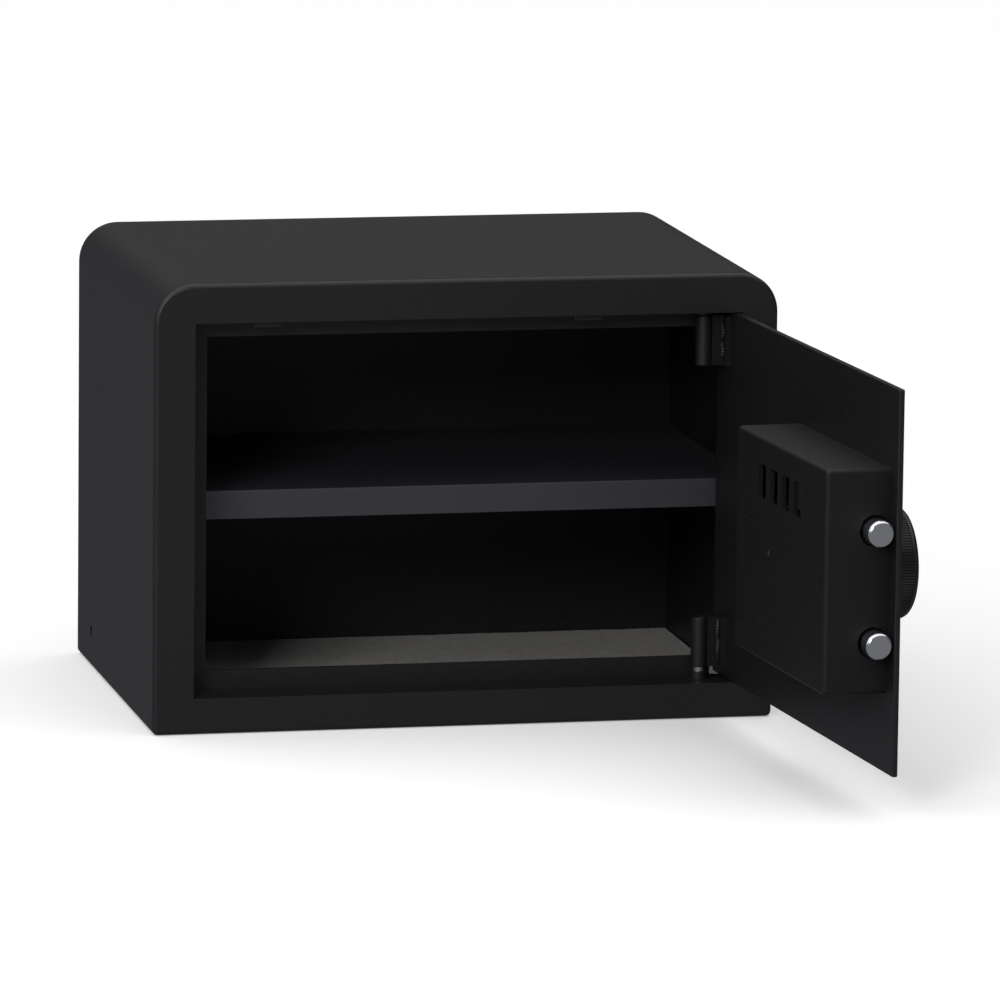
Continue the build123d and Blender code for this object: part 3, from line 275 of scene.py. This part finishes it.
# Nickel plate over turned steel: warm grey metal, with fine turning marks that soften its shine.
nickel, tree, shader, coords = start_material(
    "nickel_plated_steel", "#c8c4ba", Metallic=1.0, Roughness=0.3
)
turned = add(
    tree,
    "ShaderNodeTexNoise",
    {"Scale": 1.0, "Detail": 3.0},
    {"Vector": add(
        tree, "ShaderNodeMapping", {"Scale": (400.0, 400.0, 2600.0)}, {"Vector": coords}
    ).outputs[0]},
)
worn = add(
    tree,
    "ShaderNodeMapRange",
    {"To Min": 0.22, "To Max": 0.42},
    {"Value": turned.outputs["Fac"]},
)
marks = add(
    tree,
    "ShaderNodeBump",
    {"Strength": 0.15, "Distance": 0.00005},
    {"Height": turned.outputs["Fac"]},
)
tree.links.new(worn.outputs[0], shader.inputs["Roughness"])
tree.links.new(marks.outputs[0], shader.inputs["Normal"])
paint(nickel, "hinge_pins")

# ---------------------------------------------------------------- carpet
# A die-cut mat of grey needle-punched polyester felt, 3 mm thick, laid loose on the cabinet's
# floor. Two holes in it clear the floor anchors.

mat_low, mat_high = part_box("floor_carpet")
mat_width = mat_high.x - mat_low.x
mat_length = mat_high.y - mat_low.y
mat_middle = (mat_low + mat_high) / 2
mat_hole = 0.010
mat_hole_offset = 0.090
mat_cell = 0.002

# Needle felt: matt, mottled grey fibres with a soft edge of loose hairs. Fibres are 0.05 mm thick
# and are drawn 0.5 mm wide, as small tangles.
felt, tree, shader, coords = start_material(
    "needle_felt", "#8f8b85", Roughness=0.95, Sheen_Weight=0.25, Sheen_Roughness=0.5
)
tangle = add(
    tree,
    "ShaderNodeTexNoise",
    {"Scale": 900.0, "Detail": 4.0, "Roughness": 0.7, "Distortion": 1.2},
    {"Vector": coords},
)
clumps = add(tree, "ShaderNodeTexNoise", {"Scale": 130.0, "Detail": 2.0}, {"Vector": coords})
shades = add(
    tree,
    "ShaderNodeValToRGB",
    feeds={"Fac": tangle.outputs["Fac"]},
)
shades.color_ramp.elements[0].position = 0.32
shades.color_ramp.elements[0].color = linear("#5c5955")
shades.color_ramp.elements[1].position = 0.68
shades.color_ramp.elements[1].color = linear("#c4c0b8")
patchy = add(
    tree,
    "ShaderNodeMix",
    {"data_type": "RGBA", "blend_type": "MULTIPLY"},
    {0: clumps.outputs["Fac"], 6: shades.outputs["Color"]},
)
patchy.inputs[7].default_value = linear("#d4cfc8")
nap = add(
    tree,
    "ShaderNodeBump",
    {"Strength": 0.8, "Distance": 0.0006},
    {"Height": tangle.outputs["Fac"]},
)
tree.links.new(patchy.outputs[2], shader.inputs["Base Color"])
tree.links.new(nap.outputs[0], shader.inputs["Normal"])

bm = bmesh.new()
bmesh.ops.create_grid(
    bm,
    x_segments=round(mat_width / mat_cell),
    y_segments=round(mat_length / mat_cell),
    size=0.5,
)
bmesh.ops.scale(bm, vec=(mat_width, mat_length, 1), verts=bm.verts)
bmesh.ops.translate(bm, vec=(mat_middle.x, mat_middle.y, mat_high.z), verts=bm.verts)
hole_centres = [Vector((side * mat_hole_offset, 0, mat_high.z)) for side in (-1, 1)]
inside = [
    v for v in bm.verts if min((v.co - c).length for c in hole_centres) < mat_hole - mat_cell * 0.4
]
bmesh.ops.delete(bm, geom=inside, context="VERTS")
for v in bm.verts:
    near = min(hole_centres, key=lambda c: (v.co - c).length)
    if v.is_boundary and (v.co - near).length < 2 * mat_hole:
        v.co = near + (v.co - near).normalized() * mat_hole
top_faces = bm.faces[:]
walls = bmesh.ops.extrude_face_region(bm, geom=top_faces)
lower = [g for g in walls["geom"] if isinstance(g, bmesh.types.BMVert)]
bmesh.ops.translate(bm, vec=(0, 0, mat_low.z - mat_high.z), verts=lower)
bmesh.ops.recalc_face_normals(bm, faces=bm.faces)
for v in bm.verts:
    if v.co.z > mat_middle.z:
        v.co.z -= 0.0002 * (1 + noise.noise(v.co * 90)) + 0.0001 * (1 + noise.noise(v.co * 420))
carpet = finish_mesh(bm, "carpet_mat", felt, 50.0)
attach(carpet, "cabinet")
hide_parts("floor_carpet")

# ---------------------------------------------------------------- shelf
# One loose tray of folded sheet with a lip at the front and the back, resting on four clips. Its
# powder coat is a copy of the cabinet's, a few shades lighter.

# Grey-black powder coat: the same satin film and grain, a few shades lighter.
shelf_coat = coat.copy()
shelf_coat.name = "grey_powder_coat"
for part in shelf_coat.node_tree.nodes:
    if part.bl_idname == "ShaderNodeMix":
        part.inputs[6].default_value = linear("#303136")
        part.inputs[7].default_value = linear("#36373c")
paint(shelf_coat, "shelf")

# ---------------------------------------------------------------- door and hinges
# A 3.2 mm steel door with two barrels on welded leaves, powder-coated after welding, so that paint
# covers the beads that hold the leaves.

paint(coat, "door_plate", "hinge_barrels", "hinge_leaves")

joints = {joint["name"]: joint for joint in frame["joints"]}
hinge = Vector(joints["door_hinge"]["pos_m"])
along = Vector(joints["bolt_slide"]["axis"])
outward = Vector(joints["knob_turn"]["axis"])
upward = Vector((0, 0, 1))
door_turn = Matrix((-along, upward, outward)).transposed().to_4x4()


def middle_of(node):
    """A door node's middle along the door and in height, and how far outwards and inwards it
    reaches, as a point on its outer side and one on its inner side."""
    spots = [v.co for v in nodes[node].data.vertices]
    reach = [[axis.dot(s) for s in spots] for axis in (along, upward, outward)]
    flat = along * (min(reach[0]) + max(reach[0])) / 2
    flat += upward * (min(reach[1]) + max(reach[1])) / 2
    return flat + outward * max(reach[2]), flat + outward * min(reach[2])


long_bead = 0.026
tack_length = 0.010
tack_pitch = 0.0105
bead_radius = 0.0018
bead_ripple = 0.0017
bead_lump = 0.0045
bead_along = 0.0036
bead_clear = 0.0006
leaf_spots = [v.co for v in nodes["hinge_leaves"].data.vertices]
leaf_thickness = 0.0024
door_back = 0.0127
barrel_length = 0.028
bead_place = hinge + along * bead_along + outward * (door_back - leaf_thickness - bead_clear)
low_middle = min(s.z for s in leaf_spots) + barrel_length / 2
high_middle = max(s.z for s in leaf_spots) - barrel_length / 2
bead_runs = [
    (low_middle, long_bead),
    (high_middle - tack_pitch / 2, tack_length),
    (high_middle + tack_pitch / 2, tack_length),
]
bm = bmesh.new()
for z, run in bead_runs:
    bead = bmesh.ops.create_uvsphere(bm, u_segments=20, v_segments=60, radius=1.0)["verts"]
    bmesh.ops.scale(bm, vec=(bead_radius, bead_radius, run / 2), verts=bead)
    for v in bead:
        swell = 1 + 0.10 * sin(v.co.z / bead_ripple * tau) + 0.12 * noise.noise(v.co * 300)
        swell += 0.35 * noise.noise(v.co / bead_lump)
        v.co.x *= swell
        v.co.y *= swell
    bmesh.ops.translate(bm, vec=(bead_place.x, bead_place.y, z), verts=bead)
beads = finish_mesh(bm, "hinge_welds", coat, 70.0)
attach(beads, "door")

# ---------------------------------------------------------------- lock cover, battery lid and tray
# One deep tray of injection-moulded ABS hides the lock on the inside of the door. Its battery lid
# is a flush plate, and the cells sit in a moulded tray behind it.


def moulded(name, colour, other, grain_size, rough, depth, **settings):
    """Moulded plastic: two close shades in soft patches, and the spark-eroded grain of its mould,
    given as the grain's width in metres, its lowest and highest roughness and its depth."""
    made, tree, shader, coords = start_material(name, colour, Roughness=rough[0], **settings)
    flow = add(tree, "ShaderNodeTexNoise", {"Scale": 22.0, "Detail": 2.0}, {"Vector": coords})
    spark = add(
        tree,
        "ShaderNodeTexNoise",
        {"Scale": 1 / grain_size, "Detail": 3.0, "Roughness": 0.65},
        {"Vector": coords},
    )
    tint = add(tree, "ShaderNodeMix", {"data_type": "RGBA"}, {0: flow.outputs["Fac"]})
    tint.inputs[6].default_value = linear(colour)
    tint.inputs[7].default_value = linear(other)
    shine = add(
        tree,
        "ShaderNodeMapRange",
        {"From Min": 0.3, "From Max": 0.7, "To Min": rough[0], "To Max": rough[1]},
        {"Value": spark.outputs["Fac"]},
    )
    relief = add(
        tree,
        "ShaderNodeBump",
        {"Strength": 0.6, "Distance": depth},
        {"Height": spark.outputs["Fac"]},
    )
    tree.links.new(tint.outputs[2], shader.inputs["Base Color"])
    tree.links.new(shine.outputs[0], shader.inputs["Roughness"])
    tree.links.new(relief.outputs[0], shader.inputs["Normal"])
    return made


# Black ABS: a deep, slightly soft black with an even leathery grain about 0.9 mm wide.
abs_black = moulded(
    "black_abs",
    "#0b0c0d",
    "#101112",
    0.0009,
    (0.46, 0.62),
    0.00014,
    Specular_IOR_Level=0.36,
)
paint(abs_black, "lock_cover", "battery_lid", "battery_tray")

# ---------------------------------------------------------------- cover screws
# Two M3 pan-head steel screws with cross recesses, nickel-plated, driven through the cover's foot
# into the door.

screw_spots = [v.co for v in nodes["cover_screws"].data.vertices]
screw_reach = [[axis.dot(s) for s in screw_spots] for axis in (along, upward, outward)]
head_radius = (max(screw_reach[0]) - min(screw_reach[0])) / 2
head_height = 0.002
screw_length = max(screw_reach[2]) - min(screw_reach[2])
shank_radius = 0.0014
recess_width = 0.0009
recess_length = 0.0034
recess_depth = 0.0012

paint(nickel, "cover_screws")
screw_profile = [
    (0.0, 0.0),
    (head_radius * 0.45, 0.0),
    (head_radius * 0.78, 0.00035),
    (head_radius * 0.95, 0.0009),
    (head_radius, 0.0014),
    (head_radius, head_height),
    (shank_radius, head_height),
    (shank_radius, screw_length - 0.0006),
    (shank_radius * 0.7, screw_length),
    (0.0, screw_length),
]


def spun(bm, profile, steps):
    """Turns a profile of (radius, height) points once round the Z axis into a closed shape."""
    ring = [bm.verts.new((radius, 0, height)) for radius, height in profile]
    wires = [bm.edges.new(pair) for pair in zip(ring, ring[1:])]
    made = bmesh.ops.spin(
        bm,
        geom=ring + wires,
        cent=(0, 0, 0),
        axis=(0, 0, 1),
        angle=tau,
        steps=steps,
        use_merge=True,
        use_duplicate=False,
    )
    bmesh.ops.remove_doubles(bm, verts=bm.verts, dist=1e-6)
    bmesh.ops.recalc_face_normals(bm, faces=bm.faces)
    return made


def cut_away(piece, cutter):
    """Cuts one mesh object out of another and drops the cutter."""
    cutting = piece.modifiers.new("cut", "BOOLEAN")
    cutting.operation = "DIFFERENCE"
    cutting.solver = "EXACT"
    cutting.use_self = True
    cutting.object = cutter
    bpy.context.view_layer.update()
    depsgraph = bpy.context.evaluated_depsgraph_get()
    piece.data = bpy.data.meshes.new_from_object(piece.evaluated_get(depsgraph))
    piece.modifiers.clear()
    bpy.data.objects.remove(cutter)


# A screw's own axis starts at the head's crown and runs outwards into the door.
bm = bmesh.new()
spun(bm, screw_profile, 48)
single = finish_mesh(bm, "cover_screw_a", nickel, 35.0)
bm = bmesh.new()
for turn in (0, pi / 2):
    bar = bmesh.ops.create_cube(bm, size=1.0)["verts"]
    bmesh.ops.scale(bm, vec=(recess_length, recess_width, 2 * recess_depth), verts=bar)
    for v in bar:
        if v.co.z > 0:
            v.co.x *= 0.55
            v.co.y *= 0.6
    bmesh.ops.rotate(bm, cent=(0, 0, 0), matrix=Matrix.Rotation(turn, 3, "Z"), verts=bar)
recess = finish_mesh(bm, "recess", nickel)
cut_away(single, recess)
twin = single.copy()
twin.data = single.data.copy()
twin.name = "cover_screw_b"
scene.collection.objects.link(twin)
screw_line = along * (min(screw_reach[0]) + head_radius) + outward * min(screw_reach[2])
screw_rises = (min(screw_reach[1]) + head_radius, max(screw_reach[1]) - head_radius)
for piece, rise, turn in zip((single, twin), screw_rises, (0.5, 1.1)):
    place = Matrix.Translation(screw_line + upward * rise)
    piece.data.transform(place @ door_turn @ Matrix.Rotation(turn, 4, "Z"))
    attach(piece, "door")
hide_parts("cover_screws")

# ---------------------------------------------------------------- live bolts and their carriage
# Two 15 mm steel bolts, turned, polished and chrome-plated, flanged and screwed to a zinc-plated
# carriage plate that the knob's crank drives.

# Polished chrome: a cold mirror, dulled a little by buffing marks that run round the bolt.
chrome, tree, shader, coords = start_material(
    "polished_chrome", "#e6e8ea", Metallic=1.0, Roughness=0.16
)
buffed = add(
    tree,
    "ShaderNodeTexNoise",
    {"Scale": 1.0, "Detail": 2.0},
    {"Vector": add(
        tree, "ShaderNodeMapping", {"Scale": (300.0, 2200.0, 300.0)}, {"Vector": coords}
    ).outputs[0]},
)
dull = add(
    tree, "ShaderNodeMapRange", {"To Min": 0.10, "To Max": 0.26}, {"Value": buffed.outputs["Fac"]}
)
swirls = add(
    tree,
    "ShaderNodeBump",
    {"Strength": 0.08, "Distance": 0.00004},
    {"Height": buffed.outputs["Fac"]},
)
tree.links.new(dull.outputs[0], shader.inputs["Roughness"])
tree.links.new(swirls.outputs[0], shader.inputs["Normal"])
paint(chrome, "live_bolts", "override_body")

# Clear-passivated zinc: pale bluish metal with faint rainbow patches and drawn-sheet streaks.
zinc, tree, shader, coords = start_material(
    "clear_zinc_plate", "#aeb4bb", Metallic=1.0, Roughness=0.42
)
bloom = add(tree, "ShaderNodeTexNoise", {"Scale": 75.0, "Detail": 2.0}, {"Vector": coords})
cast = add(tree, "ShaderNodeValToRGB", feeds={"Fac": bloom.outputs["Fac"]})
cast.color_ramp.elements[0].position = 0.3
cast.color_ramp.elements[0].color = linear("#a3b0bf")
cast.color_ramp.elements[1].position = 0.7
cast.color_ramp.elements[1].color = linear("#bfb8a4")
streaks = add(
    tree,
    "ShaderNodeTexNoise",
    {"Scale": 1.0, "Detail": 3.0},
    {"Vector": add(
        tree, "ShaderNodeMapping", {"Scale": (500.0, 500.0, 30.0)}, {"Vector": coords}
    ).outputs[0]},
)
scuffs = add(
    tree, "ShaderNodeMapRange", {"To Min": 0.32, "To Max": 0.55}, {"Value": streaks.outputs["Fac"]}
)
tree.links.new(cast.outputs["Color"], shader.inputs["Base Color"])
tree.links.new(scuffs.outputs[0], shader.inputs["Roughness"])
paint(zinc, "bolt_plate", "lock_chassis", "drive_crank", "solenoid_frame")
paint(nickel, "bolt_screws", "chassis_nuts")

# ---------------------------------------------------------------- bushes
# The bolts slide in turned nylon bushes held by the chassis, and the knob's spindle runs in a
# sintered bronze bush pressed through the door.

# Natural nylon: milky white, faintly waxy, with tool rings.
nylon, tree, shader, coords = start_material(
    "natural_nylon",
    "#e4e0d3",
    Roughness=0.42,
    Subsurface_Weight=0.15,
    Subsurface_Scale=0.002,
)
rings = add(tree, "ShaderNodeTexNoise", {"Scale": 700.0, "Detail": 2.0}, {"Vector": coords})
tone = add(tree, "ShaderNodeMix", {"data_type": "RGBA"}, {0: rings.outputs["Fac"]})
tone.inputs[6].default_value = linear("#dedaca")
tone.inputs[7].default_value = linear("#ebe8de")
cuts = add(
    tree, "ShaderNodeBump", {"Strength": 0.2, "Distance": 0.0001}, {"Height": rings.outputs["Fac"]}
)
tree.links.new(tone.outputs[2], shader.inputs["Base Color"])
tree.links.new(cuts.outputs[0], shader.inputs["Normal"])
paint(nylon, "bolt_bushes")

# Sintered bronze: dull brown metal, pitted by pores 0.2 mm wide that hold oil.
bronze, tree, shader, coords = start_material(
    "sintered_bronze", "#94704a", Metallic=1.0, Roughness=0.5
)
pores = add(tree, "ShaderNodeTexVoronoi", {"Scale": 3000.0}, {"Vector": coords})
oily = add(tree, "ShaderNodeValToRGB", feeds={"Fac": pores.outputs["Distance"]})
oily.color_ramp.elements[0].position = 0.1
oily.color_ramp.elements[0].color = linear("#4d3924")
oily.color_ramp.elements[1].position = 0.4
oily.color_ramp.elements[1].color = linear("#a07a50")
pits = add(
    tree,
    "ShaderNodeBump",
    {"Strength": 0.4, "Distance": 0.00006},
    {"Height": pores.outputs["Distance"]},
)
tree.links.new(oily.outputs["Color"], shader.inputs["Base Color"])
tree.links.new(pits.outputs[0], shader.inputs["Normal"])
paint(bronze, "knob_bush")

# ---------------------------------------------------------------- knob
# A hollow ABS knob on an 8 mm steel spindle. Ribs run round its rim for grip, its face is dished,
# and a pad-printed line shows which way it is turned.

rib_count = 118
rib_depth = 0.00055
rib_low = 0.002
rib_high = 0.0189
rib_root = 0.0299
knob_profile = [
    (0.0, 0.0175),
    (0.00405, 0.0175),
    (0.00405, 0.0),
    (0.0080, 0.0),
    (0.0080, 0.0190),
    (0.0270, 0.0190),
    (0.0270, 0.0),
    (0.0292, 0.0),
    (0.0300, 0.0008),
    (0.0300, 0.0018),
    (0.0300, 0.0022),
    (0.0300, 0.0187),
    (0.0300, 0.0192),
    (0.0299, 0.0200),
    (0.0293, 0.0212),
    (0.0283, 0.0221),
    (0.0268, 0.0225),
    (0.0248, 0.0224),
    (0.0236, 0.0220),
    (0.0226, 0.0216),
    (0.0120, 0.0214),
    (0.0, 0.0213),
]

# Black ABS with a brushed-matt mould finish, glossier than the cover's.
knob_black = moulded("knob_abs", "#101113", "#141517", 0.0007, (0.34, 0.46), 0.00008)
knob_back = middle_of("knob")[1]
knob_place = Matrix.Translation(knob_back) @ door_turn
bm = bmesh.new()
spun(bm, knob_profile, 4 * rib_count)
for v in bm.verts:
    column = round(atan2(v.co.y, v.co.x) / tau * 4 * rib_count)
    ribbed = rib_low < v.co.z < rib_high and hypot(v.co.x, v.co.y) > rib_root
    if ribbed and column % 4 in (2, 3):
        v.co.xy -= v.co.xy.normalized() * rib_depth
bmesh.ops.transform(bm, matrix=knob_place, verts=bm.verts)
knob = finish_mesh(bm, "ribbed_knob", knob_black, 32.0)
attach(knob, "knob")
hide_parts("knob")

# Pad-printing ink: a thin, slightly raised film of warm white.
ink = moulded("white_pad_ink", "#d9d8d2", "#e2e1dc", 0.0006, (0.5, 0.62), 0.00002)
pointer_size = (0.0016, 0.0100, 0.00012)
pointer_corner = 0.0007
pointer_place = (0, 0.0165, 0.02155)
bm = bmesh.new()
line = bmesh.ops.create_cube(bm, size=1.0)["verts"]
bmesh.ops.scale(bm, vec=pointer_size, verts=line)
bmesh.ops.bevel(
    bm,
    geom=[e for e in bm.edges if abs(e.verts[0].co.z - e.verts[1].co.z) > 1e-6],
    offset=pointer_corner,
    segments=6,
    profile=0.5,
    affect="EDGES",
    material=-1,
)
bmesh.ops.transform(bm, matrix=knob_place @ Matrix.Translation(pointer_place), verts=bm.verts)
pointer = finish_mesh(bm, "knob_pointer", ink)
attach(pointer, "knob")
paint(nickel, "knob_spindle", "spindle_clip")

# ---------------------------------------------------------------- solenoid and override lock
# A taped copper coil in a folded zinc-plated frame lifts a steel plunger into the bolt carriage.
# The chrome cylinder beside it takes a key and turns a cam when the batteries are flat.

# Coil tape: amber polyester film, wound tight, with the wire's turns showing through at 0.4 mm.
tape, tree, shader, coords = start_material(
    "amber_coil_tape", "#9c5a24", Roughness=0.3, Coat_Weight=0.4, Coat_Roughness=0.15
)
turns = add(
    tree,
    "ShaderNodeTexWave",
    {"bands_direction": "Z", "Scale": 400.0, "Distortion": 0.6, "Detail": 1.0},
    {"Vector": coords},
)
amber = add(tree, "ShaderNodeMix", {"data_type": "RGBA"}, {0: turns.outputs["Fac"]})
amber.inputs[6].default_value = linear("#7d4218")
amber.inputs[7].default_value = linear("#b87334")
ridges = add(
    tree, "ShaderNodeBump", {"Strength": 0.3, "Distance": 0.0001}, {"Height": turns.outputs["Fac"]}
)
tree.links.new(amber.outputs[2], shader.inputs["Base Color"])
tree.links.new(ridges.outputs[0], shader.inputs["Normal"])
paint(tape, "solenoid_coil")
paint(nickel, "solenoid_plunger", "override_core", "override_cam", "override_nut")

# ---------------------------------------------------------------- circuit boards
# The lock's board and the keypad's board are glass-epoxy laminate under black solder resist, with
# moulded components soldered on.

# Solder resist: glossy black lacquer, browner where it covers copper tracks 1 mm wide.
resist, tree, shader, coords = start_material(
    "black_solder_resist", "#10120f", Roughness=0.32, Coat_Weight=0.3, Coat_Roughness=0.2
)
tracks = add(
    tree,
    "ShaderNodeTexBrick",
    {"Scale": 60.0, "Mortar Size": 0.05, "Mortar Smooth": 0.1, "Row Height": 0.3, "offset": 0.35},
    {"Vector": add(
        tree, "ShaderNodeMapping", {"Rotation": (0, radians(90), 0)}, {"Vector": coords}
    ).outputs[0]},
)
tracks.inputs["Color1"].default_value = linear("#0e100d")
tracks.inputs["Color2"].default_value = linear("#12140f")
tracks.inputs["Mortar"].default_value = linear("#2a2419")
copper_edge = add(
    tree,
    "ShaderNodeBump",
    {"Strength": 0.4, "Distance": 0.00004},
    {"Height": tracks.outputs["Fac"]},
)
tree.links.new(tracks.outputs["Color"], shader.inputs["Base Color"])
tree.links.new(copper_edge.outputs[0], shader.inputs["Normal"])
paint(resist, "circuit_board", "keypad_board")

# Epoxy moulding compound: charcoal, dry and finely pitted.
epoxy = moulded("epoxy_compound", "#1c1d1f", "#232426", 0.0005, (0.55, 0.7), 0.00005)
paint(epoxy, "board_components")

# ---------------------------------------------------------------- cells and contacts
# Four AA cells in plain shrink jackets lie in the tray, joined by nickel-plated strips.

# Printed shrink film: glossy dark blue with a copper-coloured band at the cells' upper ends.
jacket, tree, shader, coords = start_material(
    "cell_shrink_film", "#1d2b4a", Roughness=0.28, Coat_Weight=0.5, Coat_Roughness=0.1
)
cell_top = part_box("batteries")[1].z
band_drop = 0.014
band_fade = 0.0005
height_at = add(tree, "ShaderNodeSeparateXYZ", feeds={"Vector": coords}).outputs["Z"]
band = add(
    tree,
    "ShaderNodeMapRange",
    {"From Min": cell_top - band_drop - band_fade, "From Max": cell_top - band_drop},
    {"Value": height_at},
)
wrap = add(tree, "ShaderNodeMix", {"data_type": "RGBA"}, {0: band.outputs[0]})
wrap.inputs[6].default_value = linear("#1b2846")
wrap.inputs[7].default_value = linear("#b5793f")
creases = add(tree, "ShaderNodeTexNoise", {"Scale": 180.0, "Detail": 2.0}, {"Vector": coords})
film = add(
    tree,
    "ShaderNodeBump",
    {"Strength": 0.15, "Distance": 0.0001},
    {"Height": creases.outputs["Fac"]},
)
tree.links.new(wrap.outputs[2], shader.inputs["Base Color"])
tree.links.new(film.outputs[0], shader.inputs["Normal"])
paint(jacket, "batteries")
paint(nickel, "battery_contacts")

# ---------------------------------------------------------------- reset button and cable
# A dark acetal button stands in a hole in the cover, and a PVC-sheathed cable joins the two boards
# through the door.

# Dark grey acetal: satin, slightly waxy.
acetal = moulded("grey_acetal", "#1a1b1d", "#1f2022", 0.0006, (0.4, 0.52), 0.00004)
paint(acetal, "reset_button")

# Soft PVC: dull black with a faint extrusion grain.
sheath = moulded("pvc_sheath", "#18181a", "#1d1d1f", 0.0008, (0.42, 0.55), 0.00006)
paint(sheath, "keypad_cable")

# ---------------------------------------------------------------- keypad
# A moulded ABS housing on the door's outer face, held by two screws from behind, with a smoked
# window over its display and two small lamps.

paint(abs_black, "keypad_housing")
paint(nickel, "keypad_screws")

# Smoked acrylic: almost black, mirror-smooth, with the faintest unevenness of a cast sheet.
window, tree, shader, coords = start_material(
    "smoked_acrylic", "#08090b", Roughness=0.06, Coat_Weight=0.6, Coat_Roughness=0.03
)
pull = add(tree, "ShaderNodeTexNoise", {"Scale": 60.0, "Detail": 1.0}, {"Vector": coords})
handled = add(
    tree, "ShaderNodeMapRange", {"To Min": 0.04, "To Max": 0.12}, {"Value": pull.outputs["Fac"]}
)
sag = add(
    tree, "ShaderNodeBump", {"Strength": 0.05, "Distance": 0.0002}, {"Height": pull.outputs["Fac"]}
)
tree.links.new(handled.outputs[0], shader.inputs["Roughness"])
tree.links.new(sag.outputs[0], shader.inputs["Normal"])
paint(window, "display_window")

# Diffused lenses: milky epoxy domes, the one on the hinge side green and the other red.
lenses, tree, shader, coords = start_material(
    "diffused_lenses", "#5c7d4a", Roughness=0.22, Coat_Weight=0.3
)
lens_middle = middle_of("status_lamps")[0].y
lens_blend = 0.001
split = add(
    tree,
    "ShaderNodeMapRange",
    {"From Min": lens_middle - lens_blend, "From Max": lens_middle + lens_blend},
    {"Value": add(tree, "ShaderNodeSeparateXYZ", feeds={"Vector": coords}).outputs["Y"]},
)
cloud = add(tree, "ShaderNodeTexNoise", {"Scale": 500.0}, {"Vector": coords})
hues = add(tree, "ShaderNodeMix", {"data_type": "RGBA"}, {0: split.outputs[0]})
hues.inputs[6].default_value = linear("#7a2a26")
hues.inputs[7].default_value = linear("#3d6b3a")
milky = add(
    tree,
    "ShaderNodeMix",
    {"data_type": "RGBA", "blend_type": "MULTIPLY"},
    {0: cloud.outputs["Fac"], 6: hues.outputs[2]},
)
milky.inputs[7].default_value = linear("#d8d8d8")
tree.links.new(milky.outputs[2], shader.inputs["Base Color"])
paint(lenses, "status_lamps")

# ---------------------------------------------------------------- keys
# Twelve separate silicone keys with a soft-touch lacquer, each printed with one white figure or
# letter: C clears the code and E enters it.

# Silicone rubber: dark grey, dry and even, with almost no gloss.
rubber = moulded("soft_touch_silicone", "#2b2c2f", "#303134", 0.0006, (0.66, 0.78), 0.00005)
figure_height = 0.0062
figure_t = 0.00012
key_figures = {str(i): str(i) for i in range(10)} | {"clear": "C", "enter": "E"}
for key, figure in key_figures.items():
    paint(rubber, f"key_{key}")
    text = bpy.data.curves.new(f"figure_{key}", "FONT")
    text.body = figure
    text.size = figure_height
    text.extrude = figure_t / 2
    text.align_x = "CENTER"
    text.align_y = "CENTER"
    text.resolution_u = 4
    drawn = bpy.data.objects.new("drawn", text)
    scene.collection.objects.link(drawn)
    bpy.context.view_layer.update()
    mesh = bpy.data.meshes.new_from_object(
        drawn.evaluated_get(bpy.context.evaluated_depsgraph_get())
    )
    bpy.data.objects.remove(drawn)
    mesh.materials.clear()
    mesh.materials.append(ink)
    key_face = middle_of(f"key_{key}")[0]
    mesh.transform(Matrix.Translation(key_face) @ door_turn)
    printed = bpy.data.objects.new(f"figure_{key}", mesh)
    scene.collection.objects.link(printed)
    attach(printed, f"key_{key}")
